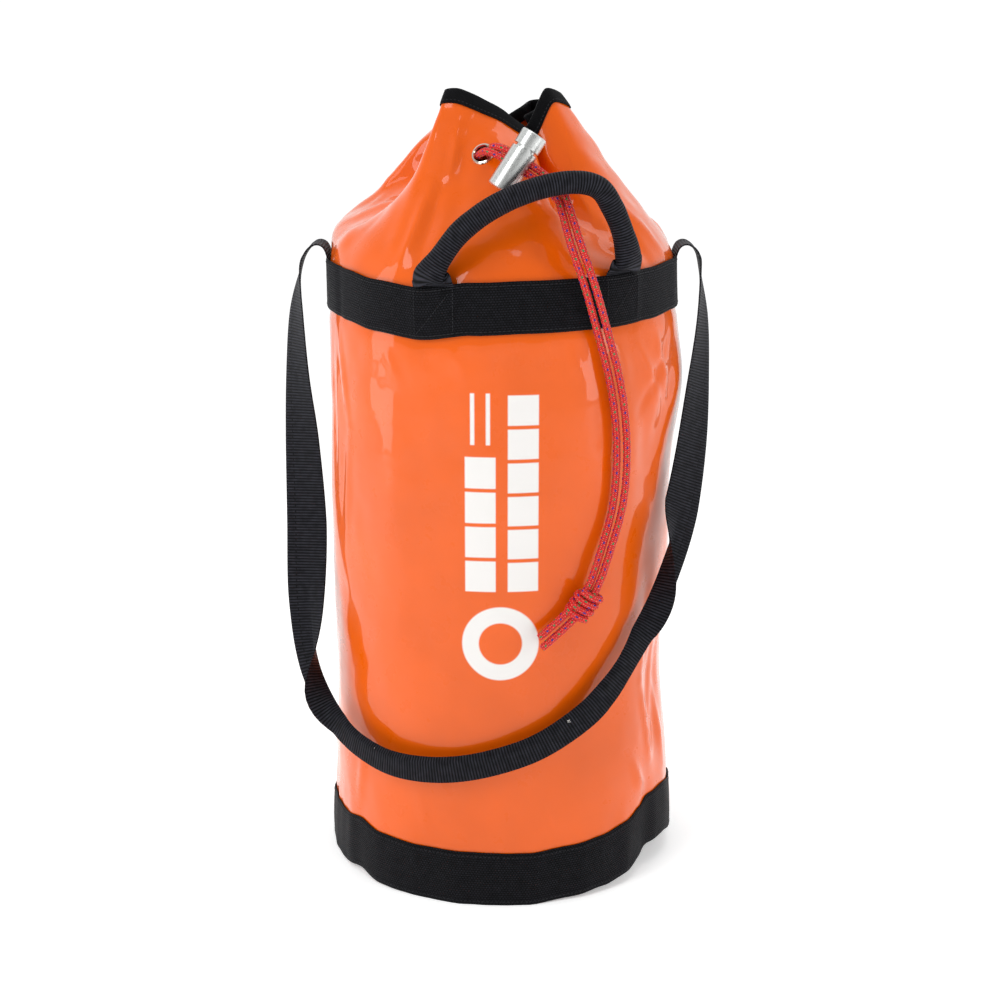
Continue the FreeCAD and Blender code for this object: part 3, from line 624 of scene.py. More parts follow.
class ROPEBAG_OT_wall(bpy.types.Operator):
    """Side wall: one tube of coated fabric with soft dents and puckers"""

    bl_idname = "ropebag.wall"
    bl_label = "Side wall"

    def execute(self, context):
        columns, rows = 288, 140
        foot, head = 0.003, WALL_TOP
        sections = []
        for c in range(columns):
            azimuth = 360 * c / columns
            section = []
            for r in range(rows + 1):
                height = foot + (head - foot) * r / rows
                lift = foot_rise(azimuth) * smoothstep(0.12, 0.02, height)
                lift += upper_rise(azimuth) * smoothstep(0.42, 0.46, height)
                tuck = 1.6 * MM * smoothstep(0.455, 0.47, height)
                section.append(round_the_bag(azimuth, wall_radius(azimuth, height) - tuck, height + lift))
            sections.append(section)
        wall = skin("side_wall", sections, ring=False, loop=True)
        thickness = context.scene.rope_bag_sizes.sheet_thickness
        finish_modifier(wall, "SOLIDIFY", thickness=thickness, offset=-1)
        hand_in(wall, "bag", "orange_pvc", finish_named("sheet"), "body_panel")
        # The lap of the wall's long seam stands up a sheet's thickness at the back.
        lap = []
        for c in range(13):
            azimuth = 174 + c
            edge = min(c, 12 - c) / 2
            stand = (0.2 + 0.9 * min(edge, 1.0)) * MM
            lap.append([round_the_bag(azimuth, wall_radius(azimuth, z * MM) + stand, z * MM)
                        for z in range(44, 463, 6)])
        seam = skin("back_seam_lap", lap, ring=False)
        finish_modifier(seam, "SOLIDIFY", thickness=0.0008, offset=-1)
        hand_in(seam, "bag", "orange_pvc", finish_named("sheet"), "back_seam_strip")
        return {"FINISHED"}


class ROPEBAG_OT_base(bpy.types.Operator):
    """Round base of black coated cloth, lifted with the foot band"""

    bl_idname = "ropebag.base"
    bl_label = "Base"

    def execute(self, context):
        select_nothing()
        bpy.ops.mesh.primitive_circle_add(vertices=144, radius=0.143, fill_type="NGON", location=(0, 0, 0))
        base = context.object
        base.name = base.data.name = "round_base"
        base.data.uv_layers.new(name="UVMap")
        bpy.ops.object.mode_set(mode="EDIT")
        for step in (0.004, 0.012, 0.03, 0.04, 0.03):
            bpy.ops.mesh.inset(thickness=step, depth=0.0)
        bpy.ops.object.mode_set(mode="OBJECT")
        for vertex in base.data.vertices:
            azimuth = math.degrees(math.atan2(vertex.co.x, -vertex.co.y))
            reach = vertex.co.length
            spread = smoothstep(0.095, 0.143, reach)
            limit = wall_radius(azimuth, 0.01) - 2.2 * MM
            scale = 1 - spread + spread * limit / 0.143
            height = 0.0006 + foot_rise(azimuth) * spread
            vertex.co = Vector((vertex.co.x * scale, vertex.co.y * scale, height))
        for loop in base.data.loops:
            co = base.data.vertices[loop.vertex_index].co
            base.data.uv_layers[0].data[loop.index].uv = (co.x, co.y)
        finish_modifier(base, "SOLIDIFY", thickness=0.0016, offset=1)
        face_outwards(base)
        hand_in(base, "bag", "black_pvc", finish_named("base"), "base_disc")
        return {"FINISHED"}


# ---------------------------------------------------------------- collar

# Azimuth on the band, point level with the eyelets and point on the rim, in millimetres.
COLUMNS = [
    (-8, (-3, -83, 593), (-2, -53, 629)),
    (8, (20, -88, 588), (12, -60, 619)),
    (24, (30, -80, 583), (24, -60, 611)),
    (38, (22, -44, 579), (9, -22, 606)),
    (50, (40, -62, 585), (21, -46, 615)),
    (66, (60, -54, 600), (34, -43, 644)),
    (84, (77, -20, 598), (48, -28, 637)),
    (98, (48, -14, 591), (32, -14, 628)),
    (112, (40, 4, 585), (18, 0, 620)),
    (126, (60, 30, 590), (36, 18, 626)),
    (142, (60, 54, 594), (44, 34, 632)),
    (156, (28, 76, 593), (24, 48, 631)),
    (168, (20, 54, 590), (16, 32, 626)),
    (180, (0, 44, 584), (1, 20, 618)),
    (192, (-20, 54, 588), (-14, 32, 624)),
    (204, (-28, 76, 592), (-22, 48, 629)),
    (226, (-60, 56, 593), (-42, 38, 631)),
    (250, (-80, 14, 591), (-38, 12, 622)),
    (268, (-44, 4, 587), (-26, 4, 620)),
    (282, (-38, -16, 582), (-18, -8, 616)),
    (297, (-57, -40, 590), (-33, -22, 628)),
    (316, (-59, -61, 601), (-44, -42, 642)),
    (330, (-43, -66, 602), (-34, -45, 643)),
    (341, (-26, -69, 598), (-20, -47, 638)),
]
EYELET_CELLS = [23, 19, 18, 14, 11, 8, 6]
COLLAR_RADIUS = 0.1396
# How far the collar bows outwards low down, by azimuth, in millimetres.
COLLAR_BOW = [
    (-8, 0), (30, 0), (66, 2), (84, 3), (104, 10), (126, 8), (160, 6), (204, 8), (240, 16), (262, 16),
    (285, 10), (300, 4), (316, 1), (341, 2),
]
# Creases of the collar: both ends, height and half width, in millimetres. A negative height is a groove.
COLLAR_CREASES = [
    ((-127, 0, 537), (-80, -15, 560), 3.6, 13), ((-128, -20, 512), (-98, -48, 518), 3.0, 9),
    ((-110, -30, 545), (-66, -34, 578), -2.5, 12),
    ((30, -100, 555), (67, -97, 543), 3.0, 10), ((67, -97, 543), (106, -88, 515), 2.6, 10),
    ((-33, -60, 620), (-39, -80, 582), 1.6, 7), ((-56, -88, 574), (-84, -120, 512), 2.6, 9),
    ((-46, -84, 572), (-70, -126, 510), -2.4, 12), ((78, -74, 566), (118, -80, 512), -3.2, 11),
    ((86, -60, 560), (128, -52, 512), 2.4, 9), ((-24, -100, 556), (-34, -134, 512), 1.2, 12),
    ((56, -74, 600), (70, -98, 555), 1.6, 8), ((130, 16, 516), (86, 26, 560), 2.8, 12),
    ((116, 66, 514), (72, 50, 566), -2.6, 12), ((60, 116, 514), (28, 84, 566), 2.8, 12),
    ((8, 134, 512), (2, 74, 560), -3.0, 14), ((-58, 116, 514), (-28, 84, 568), 2.8, 12),
    ((-112, 66, 516), (-70, 52, 568), 2.6, 12), ((-132, 30, 512), (-84, 22, 566), -2.4, 10),
]
EYELET_HOLE = 0.0078


def eyelet_frame(cell):
    """Centre and outward normal of an eyelet, set between two columns."""
    lines = []
    for azimuth, level, _ in (COLUMNS[cell], COLUMNS[(cell + 1) % len(COLUMNS)]):
        lines.append((round_the_bag(azimuth, COLLAR_RADIUS, BAND_HIGH), Vector(level) * MM))
    rims = [Vector(COLUMNS[k % len(COLUMNS)][2]) * MM for k in (cell, cell + 1)]
    rise = centre_of(rims) - centre_of([line[0] for line in lines])
    normal = (lines[1][1] - lines[0][1]).cross(rise).normalized()
    return centre_of([line[1] for line in lines]), normal


def panels_through(points, steps):
    """A ring of points through the columns: nearly flat panels that meet in narrow folds."""
    curved = smooth_through(points, steps, ring=True)
    ring = []
    for k, point in enumerate(curved):
        span, past = divmod(k, steps)
        straight = points[span].lerp(points[(span + 1) % len(points)], past / steps)
        ring.append(straight.lerp(point, 0.4))
    for _ in range(4):
        ring = [(ring[k - 1] + ring[k] * 2 + ring[(k + 1) % len(ring)]) / 4 for k in range(len(ring))]
    return ring


def crease_height(point, normal):
    """How far the sheet's creases lift a point."""
    lift = 0.0
    for start, end, height, wide in COLLAR_CREASES:
        low, high = Vector(start) * MM, Vector(end) * MM
        share = min(max((point - low).dot(high - low) / (high - low).length_squared, 0.0), 1.0)
        off = point - low.lerp(high, share)
        if off.length < 0.035:
            beside = (off - normal * off.dot(normal)).length
            ends = 0.35 + 0.65 * math.sin(math.pi * min(max(share, 0.08), 0.92))
            lift += height * MM * ends * max(0.0, 1 - beside / (wide * MM)) ** 1.4
    return lift


def collar_grid():
    """Columns of points round the collar, each from under the band up to the rim."""
    steps = bpy.context.scene.rope_bag_sizes.fold_steps
    turns = [azimuth for azimuth, _, _ in COLUMNS]
    levels = panels_through([Vector(level) * MM for _, level, _ in COLUMNS], steps)
    rims = panels_through([Vector(rim) * MM for _, _, rim in COLUMNS], steps)
    grid = []
    for c, (level, rim) in enumerate(zip(levels, rims)):
        span, past = divmod(c, steps)
        low, high = turns[span], turns[span + 1] if span + 1 < len(turns) else turns[0] + 360
        azimuth = low + (high - low) * past / steps
        lift = upper_rise(azimuth)
        foot = round_the_bag(azimuth, COLLAR_RADIUS, WALL_TOP + lift)
        top = round_the_bag(azimuth, COLLAR_RADIUS, BAND_HIGH + lift)
        out = round_the_bag(azimuth, 1.0, 0.0)
        bow = table_value(COLLAR_BOW, azimuth) * MM
        low_bow = top.lerp(level, 0.22) + out * bow + UP * (1.5 * MM + 0.35 * bow)
        high_bow = top.lerp(level, 0.6) + out * bow * 0.5
        below = level.lerp(top, 0.12)
        guide = [foot, top, low_bow, high_bow, below, level.lerp(rim, 0.25), level.lerp(rim, 0.62), rim]
        grid.append(smooth_through(guide, 8))
    crease = bpy.context.scene.rope_bag_sizes.crease_depth
    count = len(grid)
    normals = []
    for c in range(count):
        column = []
        for r in range(len(grid[c])):
            side = grid[(c + 1) % count][r] - grid[c - 1][r]
            rise = grid[c][min(r + 1, len(grid[c]) - 1)] - grid[c][max(r - 1, 0)]
            column.append(side.cross(rise).normalized())
        normals.append(column)
    for c in range(count):
        for r, point in enumerate(grid[c]):
            fade = smoothstep(BAND_HIGH - 0.004, BAND_HIGH + 0.02, point.z)
            stretched = Vector((point.x * 34, point.y * 34, point.z * 16))
            sharp = 1 - 2 * abs(noise.noise(stretched))
            fine = noise.noise(point * 70)
            lift = crease * (0.7 * sharp + 0.4 * fine - 0.3) + crease_height(point, normals[c][r])
            grid[c][r] = point + normals[c][r] * fade * lift
    for cell in EYELET_CELLS:
        centre, normal = eyelet_frame(cell)
        for column in grid:
            for r, point in enumerate(column):
                off = point - centre
                if off.length < 0.03:
                    flat = 1 - smoothstep(0.0105, 0.022, off.length)
                    column[r] = point - normal * off.dot(normal) * flat
    return grid, normals


class ROPEBAG_OT_collar(bpy.types.Operator):
    """Collar: the sheet above the band, gathered into folds, with its eyelet holes"""

    bl_idname = "ropebag.collar"
    bl_label = "Collar"

    def execute(self, context):
        grid, _ = collar_grid()
        collar = skin("gathered_collar", grid, ring=False, loop=True)
        work = bmesh.new()
        work.from_mesh(collar.data)
        for cell in EYELET_CELLS:
            centre, normal = eyelet_frame(cell)
            gone = [face for face in work.faces if (face.calc_center_median() - centre).length < EYELET_HOLE
                    and abs((face.calc_center_median() - centre).dot(normal)) < 0.002]
            bmesh.ops.delete(work, geom=gone, context="FACES")
            for vertex in work.verts:
                off = vertex.co - centre
                if vertex.is_boundary and off.length < 0.013:
                    off -= normal * off.dot(normal)
                    vertex.co = centre + off.normalized() * EYELET_HOLE
        work.to_mesh(collar.data)
        work.free()
        thickness = context.scene.rope_bag_sizes.sheet_thickness
        finish_modifier(collar, "SOLIDIFY", thickness=thickness, offset=-1)
        hand_in(collar, "bag", "orange_pvc", finish_named("sheet"), "mouth_collar", angle=70)
        return {"FINISHED"}


class ROPEBAG_OT_binding(bpy.types.Operator):
    """Tape folded over the rim of the collar, with its stitching"""

    bl_idname = "ropebag.binding"
    bl_label = "Rim binding"

    def execute(self, context):
        sizes = context.scene.rope_bag_sizes
        grid, normals = collar_grid()
        sections, seams = [], []
        sheet = sizes.sheet_thickness
        for column, ways in zip(grid, normals):
            rim, out = column[-1], ways[-2]
            up = (rim - column[-4]).normalized()
            foot = rim - (rim - column[-12]).normalized() * sizes.binding_depth
            near, far = 0.15 * MM, 1.15 * MM
            inner = -sheet - near
            section = []
            for share in (0.0, 0.25, 0.5, 0.75, 1.0):
                spot = foot.lerp(rim, share)
                swell = 0.25 * MM * math.sin(math.pi * share)
                section.append(spot + out * (far + swell))
            section.append(rim + up * 0.8 * MM + out * (0.6 * far - 0.5 * sheet))
            section.append(rim + up * 1.2 * MM - out * 0.5 * sheet)
            section.append(rim + up * 0.8 * MM - out * (0.6 * far + 0.5 * sheet))
            for share in (1.0, 0.5, 0.0):
                section.append(foot.lerp(rim, share) - out * (far + sheet))
            section.append(foot + out * inner)
            section.append(foot.lerp(rim, 0.9) + out * inner)
            section.append(foot.lerp(rim, 0.9) + out * near)
            section.append(foot + out * near)
            sections.append(section)
            seams.append((foot.lerp(rim, 0.2) + out * (far + 0.15 * MM), out))
        tape = skin("rim_tape", sections, loop=True)
        face_outwards(tape)
        hand_in(tape, "bag", "binding_tape", finish_named("binding"), "rim_binding", angle=60)
        row = stitch_row("rim_stitching", [seams], pitch=3.2 * MM, closed=True)
        hand_in(row, "bag", "black_thread", finish_named("black_thread"))
        return {"FINISHED"}


# ---------------------------------------------------------------- stitching

def stitch_row(name, rows, pitch, closed=False, fill=0.72, radius=0.38 * MM):
    """Rows of stitches: a rounded stitch for each pitch along pairs of place and outward normal."""
    select_nothing()
    bpy.ops.mesh.primitive_cylinder_add(vertices=6, radius=radius, depth=pitch * fill, end_fill_type="NGON")
    model = bpy.context.object
    bpy.ops.object.mode_set(mode="EDIT")
    bpy.ops.mesh.select_all(action="SELECT")
    bpy.ops.mesh.bisect(plane_co=(0, 0, pitch * fill * 0.25), plane_no=(0, 0, 1))
    bpy.ops.mesh.select_all(action="SELECT")
    bpy.ops.mesh.bisect(plane_co=(0, 0, -pitch * fill * 0.25), plane_no=(0, 0, 1))
    bpy.ops.object.mode_set(mode="OBJECT")
    model_points = []
    for vertex in model.data.vertices:
        end = abs(vertex.co.z) / (pitch * fill * 0.5)
        dip = radius * 0.9 * end * end
        thin = 1 - 0.45 * end * end
        model_points.append(Vector((vertex.co.x * thin - dip, vertex.co.y * thin, vertex.co.z)))
    model_faces = [tuple(face.vertices) for face in model.data.polygons]
    bpy.data.objects.remove(model)
    points, faces = [], []
    for row in rows:
        places = row + [row[0]] if closed else row
        travelled, due = 0.0, pitch / 2
        for (here, out), (there, next_out) in zip(places, places[1:]):
            span = (there - here).length
            while span and due <= travelled + span:
                share = (due - travelled) / span
                run = (there - here).normalized()
                normal = out.lerp(next_out, share)
                normal = (normal - run * normal.dot(run)).normalized()
                turn = Matrix((normal, run.cross(normal), run)).transposed()
                start = len(points)
                points += [here.lerp(there, share) + turn @ point for point in model_points]
                faces += [tuple(start + k for k in face) for face in model_faces]
                due += pitch
            travelled += span
    mesh = bpy.data.meshes.new(name)
    mesh.from_pydata(points, [], faces)
    return new_piece(name, mesh)


# ---------------------------------------------------------------- webbing bands

TAB_AZIMUTHS = (-21.1, 40.3)


def band_surface(azimuth, share, upper):
    """A point on a band's outside: share runs from its lower edge, 0, to its upper edge, 1."""
    sizes = bpy.context.scene.rope_bag_sizes
    if upper:
        height = BAND_LOW + (BAND_HIGH - BAND_LOW) * share
        wave = 0.5 * MM * noise.noise(round_the_bag(azimuth, 4.0, share))
        radius = sizes.neck_radius + sizes.webbing_thickness + wave
        crease = ((azimuth + 64 + 180) % 360 - 180) / 2.2
        radius -= 1.2 * MM * math.exp(-crease * crease)
        radius += 0.5 * (wall_radius(azimuth, 0.455) - sizes.neck_radius) * (1 - share)
        for tab in TAB_AZIMUTHS:
            beside = abs((azimuth - tab + 180) % 360 - 180)
            radius += 1.1 * MM * (1 - smoothstep(6.8, 8.4, beside))
        return round_the_bag(azimuth, radius, height + upper_rise(azimuth))
    height = FOOT_BAND_HIGH * share
    radius = wall_radius(azimuth, height) + 0.3 * MM + sizes.webbing_thickness
    radius += 0.6 * MM * math.sin(math.pi * share) - 0.5 * MM * (share - 0.5)
    return round_the_bag(azimuth, radius, height + foot_rise(azimuth))


def band_piece(name, upper, node):
    """A band: a flat loop of webbing with rounded edges, laid round the bag."""
    thickness = bpy.context.scene.rope_bag_sizes.webbing_thickness
    sections = []
    for c in range(240):
        azimuth = 360 * c / 240
        out = round_the_bag(azimuth, 1.0, 0.0)
        face = [band_surface(azimuth, share, upper)
                for share in (0.0, 0.03, 0.15, 0.3, 0.45, 0.6, 0.75, 0.88, 0.97, 1.0)]
        section = []
        for k, point in enumerate(face):
            section.append(point - out * (0.35 * thickness if k in (0, len(face) - 1) else 0.0))
        for k, point in reversed(list(enumerate(face))):
            section.append(point - out * (0.65 * thickness if k in (0, len(face) - 1) else thickness))
        sections.append(section)
    band = skin(name, sections, loop=True)
    # U runs round the section and V round the bag. The weave wants V across the band.
    for corner in band.data.uv_layers[0].data:
        corner.uv = (corner.uv[1], corner.uv[0])
    face_outwards(band)
    return hand_in(band, "bag", "black_webbing", finish_named("band"), node)


class ROPEBAG_OT_bands(bpy.types.Operator):
    """Upper and foot bands of webbing, with two rows of stitches on each"""

    bl_idname = "ropebag.bands"
    bl_label = "Bands"

    def execute(self, context):
        for name, upper, node in (("upper_band_webbing", True, "upper_band"),
                                  ("foot_band_webbing", False, "bottom_band")):
            band_piece(name, upper, node)
            rows = []
            for share in (0.075, 0.925):
                rows.append([(band_surface(2 * k, share, upper) + round_the_bag(2 * k, 0.1 * MM, 0),
                              round_the_bag(2 * k, 1.0, 0.0)) for k in range(180)])
            stitches = stitch_row(name.replace("webbing", "stitching"), rows, pitch=3.6 * MM, closed=True)
            hand_in(stitches, "bag", "black_thread", finish_named("black_thread"), node + "_thread")
        return {"FINISHED"}


# ---------------------------------------------------------------- carry handle

LEFT_FOOT, RIGHT_FOOT = [round_the_bag(azimuth, 0.151, 0.510) for azimuth in TAB_AZIMUTHS]
# Share of the way from the left foot to the right one, and height over the feet in millimetres.
ARCH = [(0.0, 0.0), (0.06, 16.0), (0.16, 34.0), (0.32, 51.0), (0.50, 62.0),
        (0.68, 67.0), (0.82, 63.0), (0.90, 47.0), (0.96, 26.0), (1.0, 0.0)]
# The tab under each foot: height, radius from the bag's axis, half width and half depth, in millimetres.
TAB_SHAPE = [
    (470, 140.9, 17.0, 0.7), (480, 140.9, 17.0, 0.7), (490, 141.0, 17.0, 0.7), (500, 141.6, 17.0, 0.7),
    (505.5, 142.6, 17.0, 0.9), (509.5, 145.2, 16.2, 2.2), (514.5, 149.0, 12.6, 5.4),
]

# The box stitched over each tab: its corners with one diagonal, each a share of half its width and of its
# height, its half width in degrees, and its lower edge and height as shares of the band's.
TAB_BOX_CORNERS = [(-1, 0), (1, 0), (1, 1), (-1, 1), (-1, 0), (1, 1)]
TAB_BOX_STEPS = 12
TAB_BOX_HALF_TURN = 6.3
TAB_BOX_LOW = 0.07
TAB_BOX_HEIGHT = 0.86


def handle_sections():
    """Centre, outward direction, half width and half depth along the handle, from tab to tab."""
    rows = []
    across_feet = RIGHT_FOOT - LEFT_FOOT
    outward = across_feet.cross(UP).normalized()
    for azimuth, step in zip(TAB_AZIMUTHS, (1, -1)):
        side = []
        for height, radius, wide, deep in TAB_SHAPE:
            place = round_the_bag(azimuth, radius * MM, height * MM + upper_rise(azimuth))
            side.append((place, round_the_bag(azimuth, 1.0, 0.0), wide * MM, deep * MM))
        rows.append(side[::step])
    grip = bpy.context.scene.rope_bag_sizes.handle_radius
    arch = []
    for share, rise in ARCH[1:-1]:
        place = LEFT_FOOT + across_feet * share + (UP + outward * 0.1) * rise * MM
        azimuth = TAB_AZIMUTHS[0] + share * (TAB_AZIMUTHS[1] - TAB_AZIMUTHS[0])
        place += UP * upper_rise(azimuth) * 0.6
        arch.append((place, outward, grip, grip))
    return rows[0] + arch + rows[1]


class ROPEBAG_OT_handle(bpy.types.Operator):
    """Carry handle: tubular webbing over a filling cord, flattened into two sewn tabs"""

    bl_idname = "ropebag.handle"
    bl_label = "Carry handle"

    def execute(self, context):
        rows = handle_sections()
        steps = 14
        centres = smooth_through([row[0] for row in rows], steps)
        outs = smooth_through([row[1] for row in rows], steps)
        shapes = smooth_through([Vector((row[2], row[3], 0)) for row in rows], steps)
        corners = 28
        sections = []
        for k, (centre, out, shape) in enumerate(zip(centres, outs, shapes)):
            run = (centres[min(k + 1, len(centres) - 1)] - centres[max(k - 1, 0)]).normalized()
            out = (out - run * out.dot(run)).normalized()
            side = run.cross(out)
            wide, deep = max(shape.x, 0.5 * MM), max(shape.y, 0.5 * MM)
            power = 1.0 if deep > 0.5 * wide else 0.55
            section = []
            for c in range(corners):
                turn = math.tau * c / corners
                x, y = math.cos(turn), math.sin(turn)
                x = math.copysign(abs(x) ** power, x)
                soft = 1 + 0.02 * noise.noise(centre * 90 + Vector((x, y, 0)))
                section.append(centre + side * x * wide * soft + out * y * deep * soft)
            sections.append(section)
        handle = skin("carry_handle", sections, capped=True)
        face_outwards(handle)
        hand_in(handle, None, "black_webbing", finish_named("handle"),
                "handle_sleeve", "handle_core", "handle_tab_left", "handle_tab_right", angle=60)
        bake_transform(handle)
        for side, azimuth in zip(("left", "right"), TAB_AZIMUTHS):
            path = []
            for (turn, rise), (next_turn, next_rise) in zip(TAB_BOX_CORNERS, TAB_BOX_CORNERS[1:]):
                for k in range(TAB_BOX_STEPS):
                    share = k / TAB_BOX_STEPS
                    angle = azimuth + TAB_BOX_HALF_TURN * (turn + (next_turn - turn) * share)
                    height = TAB_BOX_LOW + TAB_BOX_HEIGHT * (rise + (next_rise - rise) * share)
                    out = round_the_bag(angle, 1.0, 0.0)
                    path.append((band_surface(angle, height, True) + out * 0.15 * MM, out))
            box = stitch_row("handle_tab_stitching_" + side, [path], pitch=3.0 * MM)
            hand_in(box, "bag", "black_thread", finish_named("black_thread"))
        return {"FINISHED"}


# ---------------------------------------------------------------- shoulder strap

# Centre in millimetres, direction of the width, and share of the width that shows, 0.5 where it is folded
# double.
STRAP = [
    ((-165, -1, 499), (-0.05, 1, 0), 1.0),
    ((-169, -4, 463), (-0.35, 0.93, 0), 1.0),
    ((-169, -8, 411), (-0.55, 0.83, 0), 1.0),
    ((-166, -14, 357), (-0.75, 0.66, 0), 1.0),
    ((-163, -24, 290), (-0.86, 0.5, 0), 1.0),
    ((-162, -40, 225), (-0.88, 0.47, -0.05), 0.95),
    ((-155, -56, 170), (-0.8, 0.5, -0.33), 0.8),
    ((-133, -86, 133), (-0.4, 0.3, -0.87), 0.5),
    ((-102, -116, 118), (0, 0, -1), 0.48),
    ((-69, -138, 116), (0, 0, -1), 0.5),
    ((-27, -152, 122), (0, 0, -1), 0.5),
    ((20, -153, 136), (0, 0, -1), 0.5),
    ((55, -144, 154), (0.3, 0, -0.95), 0.5),
    ((80, -132, 174), (0.5, 0.2, -0.84), 0.5),
    ((101, -116, 200), (0.6, 0.3, -0.74), 0.42),
    ((120, -94, 232), (0.8, 0.5, -0.33), 0.6),
    ((134, -77, 268), (0.8, 0.55, -0.2), 0.8),
    ((147, -56, 312), (0.75, 0.66, -0.1), 1.0),
    ((156, -38, 360), (0.65, 0.76, 0), 1.0),
    ((162, -20, 411), (0.5, 0.86, 0), 1.0),
    ((165, -10, 460), (0.3, 0.95, 0), 1.0),
    ((163, -1, 499), (0.05, 1, 0), 1.0),
]
# How an end of the strap comes up from under the band and over it: reach from the middle, height.
STRAP_END = [(140.5, 476), (140.6, 498), (141.2, 510), (145.0, 518), (152.0, 519.5), (159.5, 513)]
# The bar tacks sit at these rows of the strap. Lengths are in millimetres.
TACK_ROWS = {"left": 8, "right": 12}
TACK_TURNS = 22
TACK_LENGTH = 15
TACK_HALF_WIDTH = 1.1
TACK_STAND = 2.6


def strap_row_section(centre, run, width, share):
    """A section of the strap, flat or folded double about its middle line, as a closed loop."""
    sizes = bpy.context.scene.rope_bag_sizes
    half, thick = sizes.strap_width / 2, sizes.webbing_thickness
    width = (width - run * width.dot(run)).normalized()
    normal = run.cross(width).normalized()
    fold = min(1.0, max(0.0, (1 - share) / 0.5))
    squeeze = min(1.0, share / 0.5)
    line = []
    for k in range(13):
        along = (k - 6) / 6 * half
        curve = 0.8 * MM * (1 - (k / 6 - 1) ** 2) * (1 - fold)
        if along >= 0:
            x, y = along, curve
        else:
            turn = math.pi * fold
            x = -abs(along) * math.cos(turn)
            layer_gap = 1.6 * thick * fold * min(1.0, abs(along) / (0.12 * half))
            y = -abs(along) * math.sin(turn) + curve - layer_gap
        line.append(centre + width * (x - half * fold / 2) * squeeze + normal * y)
    upper, lower = [], []
    for k, point in enumerate(line):
        tangent = (line[min(k + 1, 12)] - line[max(k - 1, 0)])
        side = tangent.cross(run).normalized()
        depth = thick / 2 * (0.6 if k in (0, 12) else 1.0)
        upper.append(point + side * depth)
        lower.append(point - side * depth)
    return upper + lower[::-1]


def strap_sections():
    """All sections from the left end, over the band, round the front and to the right end. Also the sections
    where the hanging part starts and ends."""
    rows = [((-reach, 0, height), (0, 1, 0), 1.0) for reach, height in STRAP_END]
    rows += STRAP
    rows += [((reach, 0, height), (0, 1, 0), 1.0) for reach, height in reversed(STRAP_END)]
    steps = 9
    centres = smooth_through([Vector(row[0]) * MM for row in rows], steps)
    widths = smooth_through([Vector(row[1]).normalized() for row in rows], steps)
    shares = smooth_through([Vector((row[2], 0, 0)) for row in rows], steps)
    sections = []
    for k, (centre, width, share) in enumerate(zip(centres, widths, shares)):
        run = (centres[min(k + 1, len(centres) - 1)] - centres[max(k - 1, 0)]).normalized()
        sections.append(strap_row_section(centre, run, width, share.x))
    start = len(STRAP_END) * steps
    return sections, start, len(sections) - 1 - start


def strap_piece(name, sections):
    """A stretch of the strap as a closed piece."""
    piece = skin(name, sections, capped=True)
    face_outwards(piece)
    return piece


class ROPEBAG_OT_strap(bpy.types.Operator):
    """Shoulder strap: ribbed webbing, folded double at the grip, with its sewn ends"""

    bl_idname = "ropebag.strap"
    bl_label = "Shoulder strap"

    def execute(self, context):
        sections, start, end = strap_sections()
        strap = strap_piece("shoulder_strap_webbing", sections[start:end + 1])
        hand_in(strap, "strap", "black_webbing", finish_named("strap"), "shoulder_strap", angle=60)
        for side, word, part in ((-1, "left", sections[:start + 1]), (1, "right", sections[end:])):
            stub = strap_piece("strap_end_" + word, part)
            hand_in(stub, None, "black_webbing", finish_named("strap"),
                    "strap_turnover_" + word, "strap_anchor_" + word, angle=60)
            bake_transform(stub)
        # Bar tacks: dense zigzag across the folded grip, at both of its ends.
        for word, index in TACK_ROWS.items():
            centre = Vector(STRAP[index][0]) * MM
            radial = Vector((centre.x, centre.y, 0)).normalized()
            run = (Vector(STRAP[index + 1][0]) - Vector(STRAP[index - 1][0])).normalized()
            up = run.cross(radial).normalized()
            if up.z < 0:
                up = -up
            face = centre + radial * TACK_STAND * MM
            path = []
            for k in range(TACK_TURNS):
                rise = (k / (TACK_TURNS - 1) - 0.5) * TACK_LENGTH * MM
                path.append((face + up * rise + run * TACK_HALF_WIDTH * MM * (-1) ** k, radial))
            tack = stitch_row("strap_bar_tack_" + word, [path], pitch=1.15 * MM, fill=1.1, radius=0.34 * MM)
            hand_in(tack, "strap", "white_thread", finish_named("white_thread"), "strap_bartack_" + word)
        return {"FINISHED"}


# ---------------------------------------------------------------- drawcord and lock

def lock_axis():
    return Vector((0.545, 0.12, 0.83)).normalized()


def slot_run():
    run = Vector((0.815, -0.2, -0.545))
    return (run - lock_axis() * run.dot(lock_axis())).normalized()


SLOT_CENTRE = Vector((12, -108.5, 592))
HALF_GAP = 3.35
SIDE_GAP = 3.9
# The middle of the pair from the lock to the knot, and how far it has turned from one above the other, 0, to
# side by side, 1. Millimetres.
HANG_POINTS = [
    (SLOT_CENTRE + slot_run() * 37, 0.0),
    (Vector((49, -128, 554)), 0.6),
    (Vector((55, -142, 533)), 0.9),
    (Vector((66, -140, 503)), 1.0),
    (Vector((76, -131, 468)), 1.0),
    (Vector((88, -122, 425)), 1.0),
    (Vector((94, -118, 378)), 1.0),
    (Vector((92, -121, 330)), 1.0),
    (Vector((81, -131, 294)), 0.9),
    (Vector((71, -138, 264)), 0.9),
]
KNOT_AXIS = Vector((-0.55, -0.05, -0.83)).normalized()
TAIL_DIRECTION = Vector((-0.74, -0.25, -0.62)).normalized()
KNOT_HALF_LENGTH = 13.5
KNOT_CENTRE = HANG_POINTS[-1][0] + KNOT_AXIS * (KNOT_HALF_LENGTH - 1.5)
# The turns of the knot: their count, points in each, pitch, half width, half depth and how far they lean.
KNOT_TURNS = 3.3
KNOT_SPOTS = 12
KNOT_PITCH = 6.3
KNOT_WIDE = 8.6
KNOT_DEEP = 5.9
KNOT_LEAN = 2.2


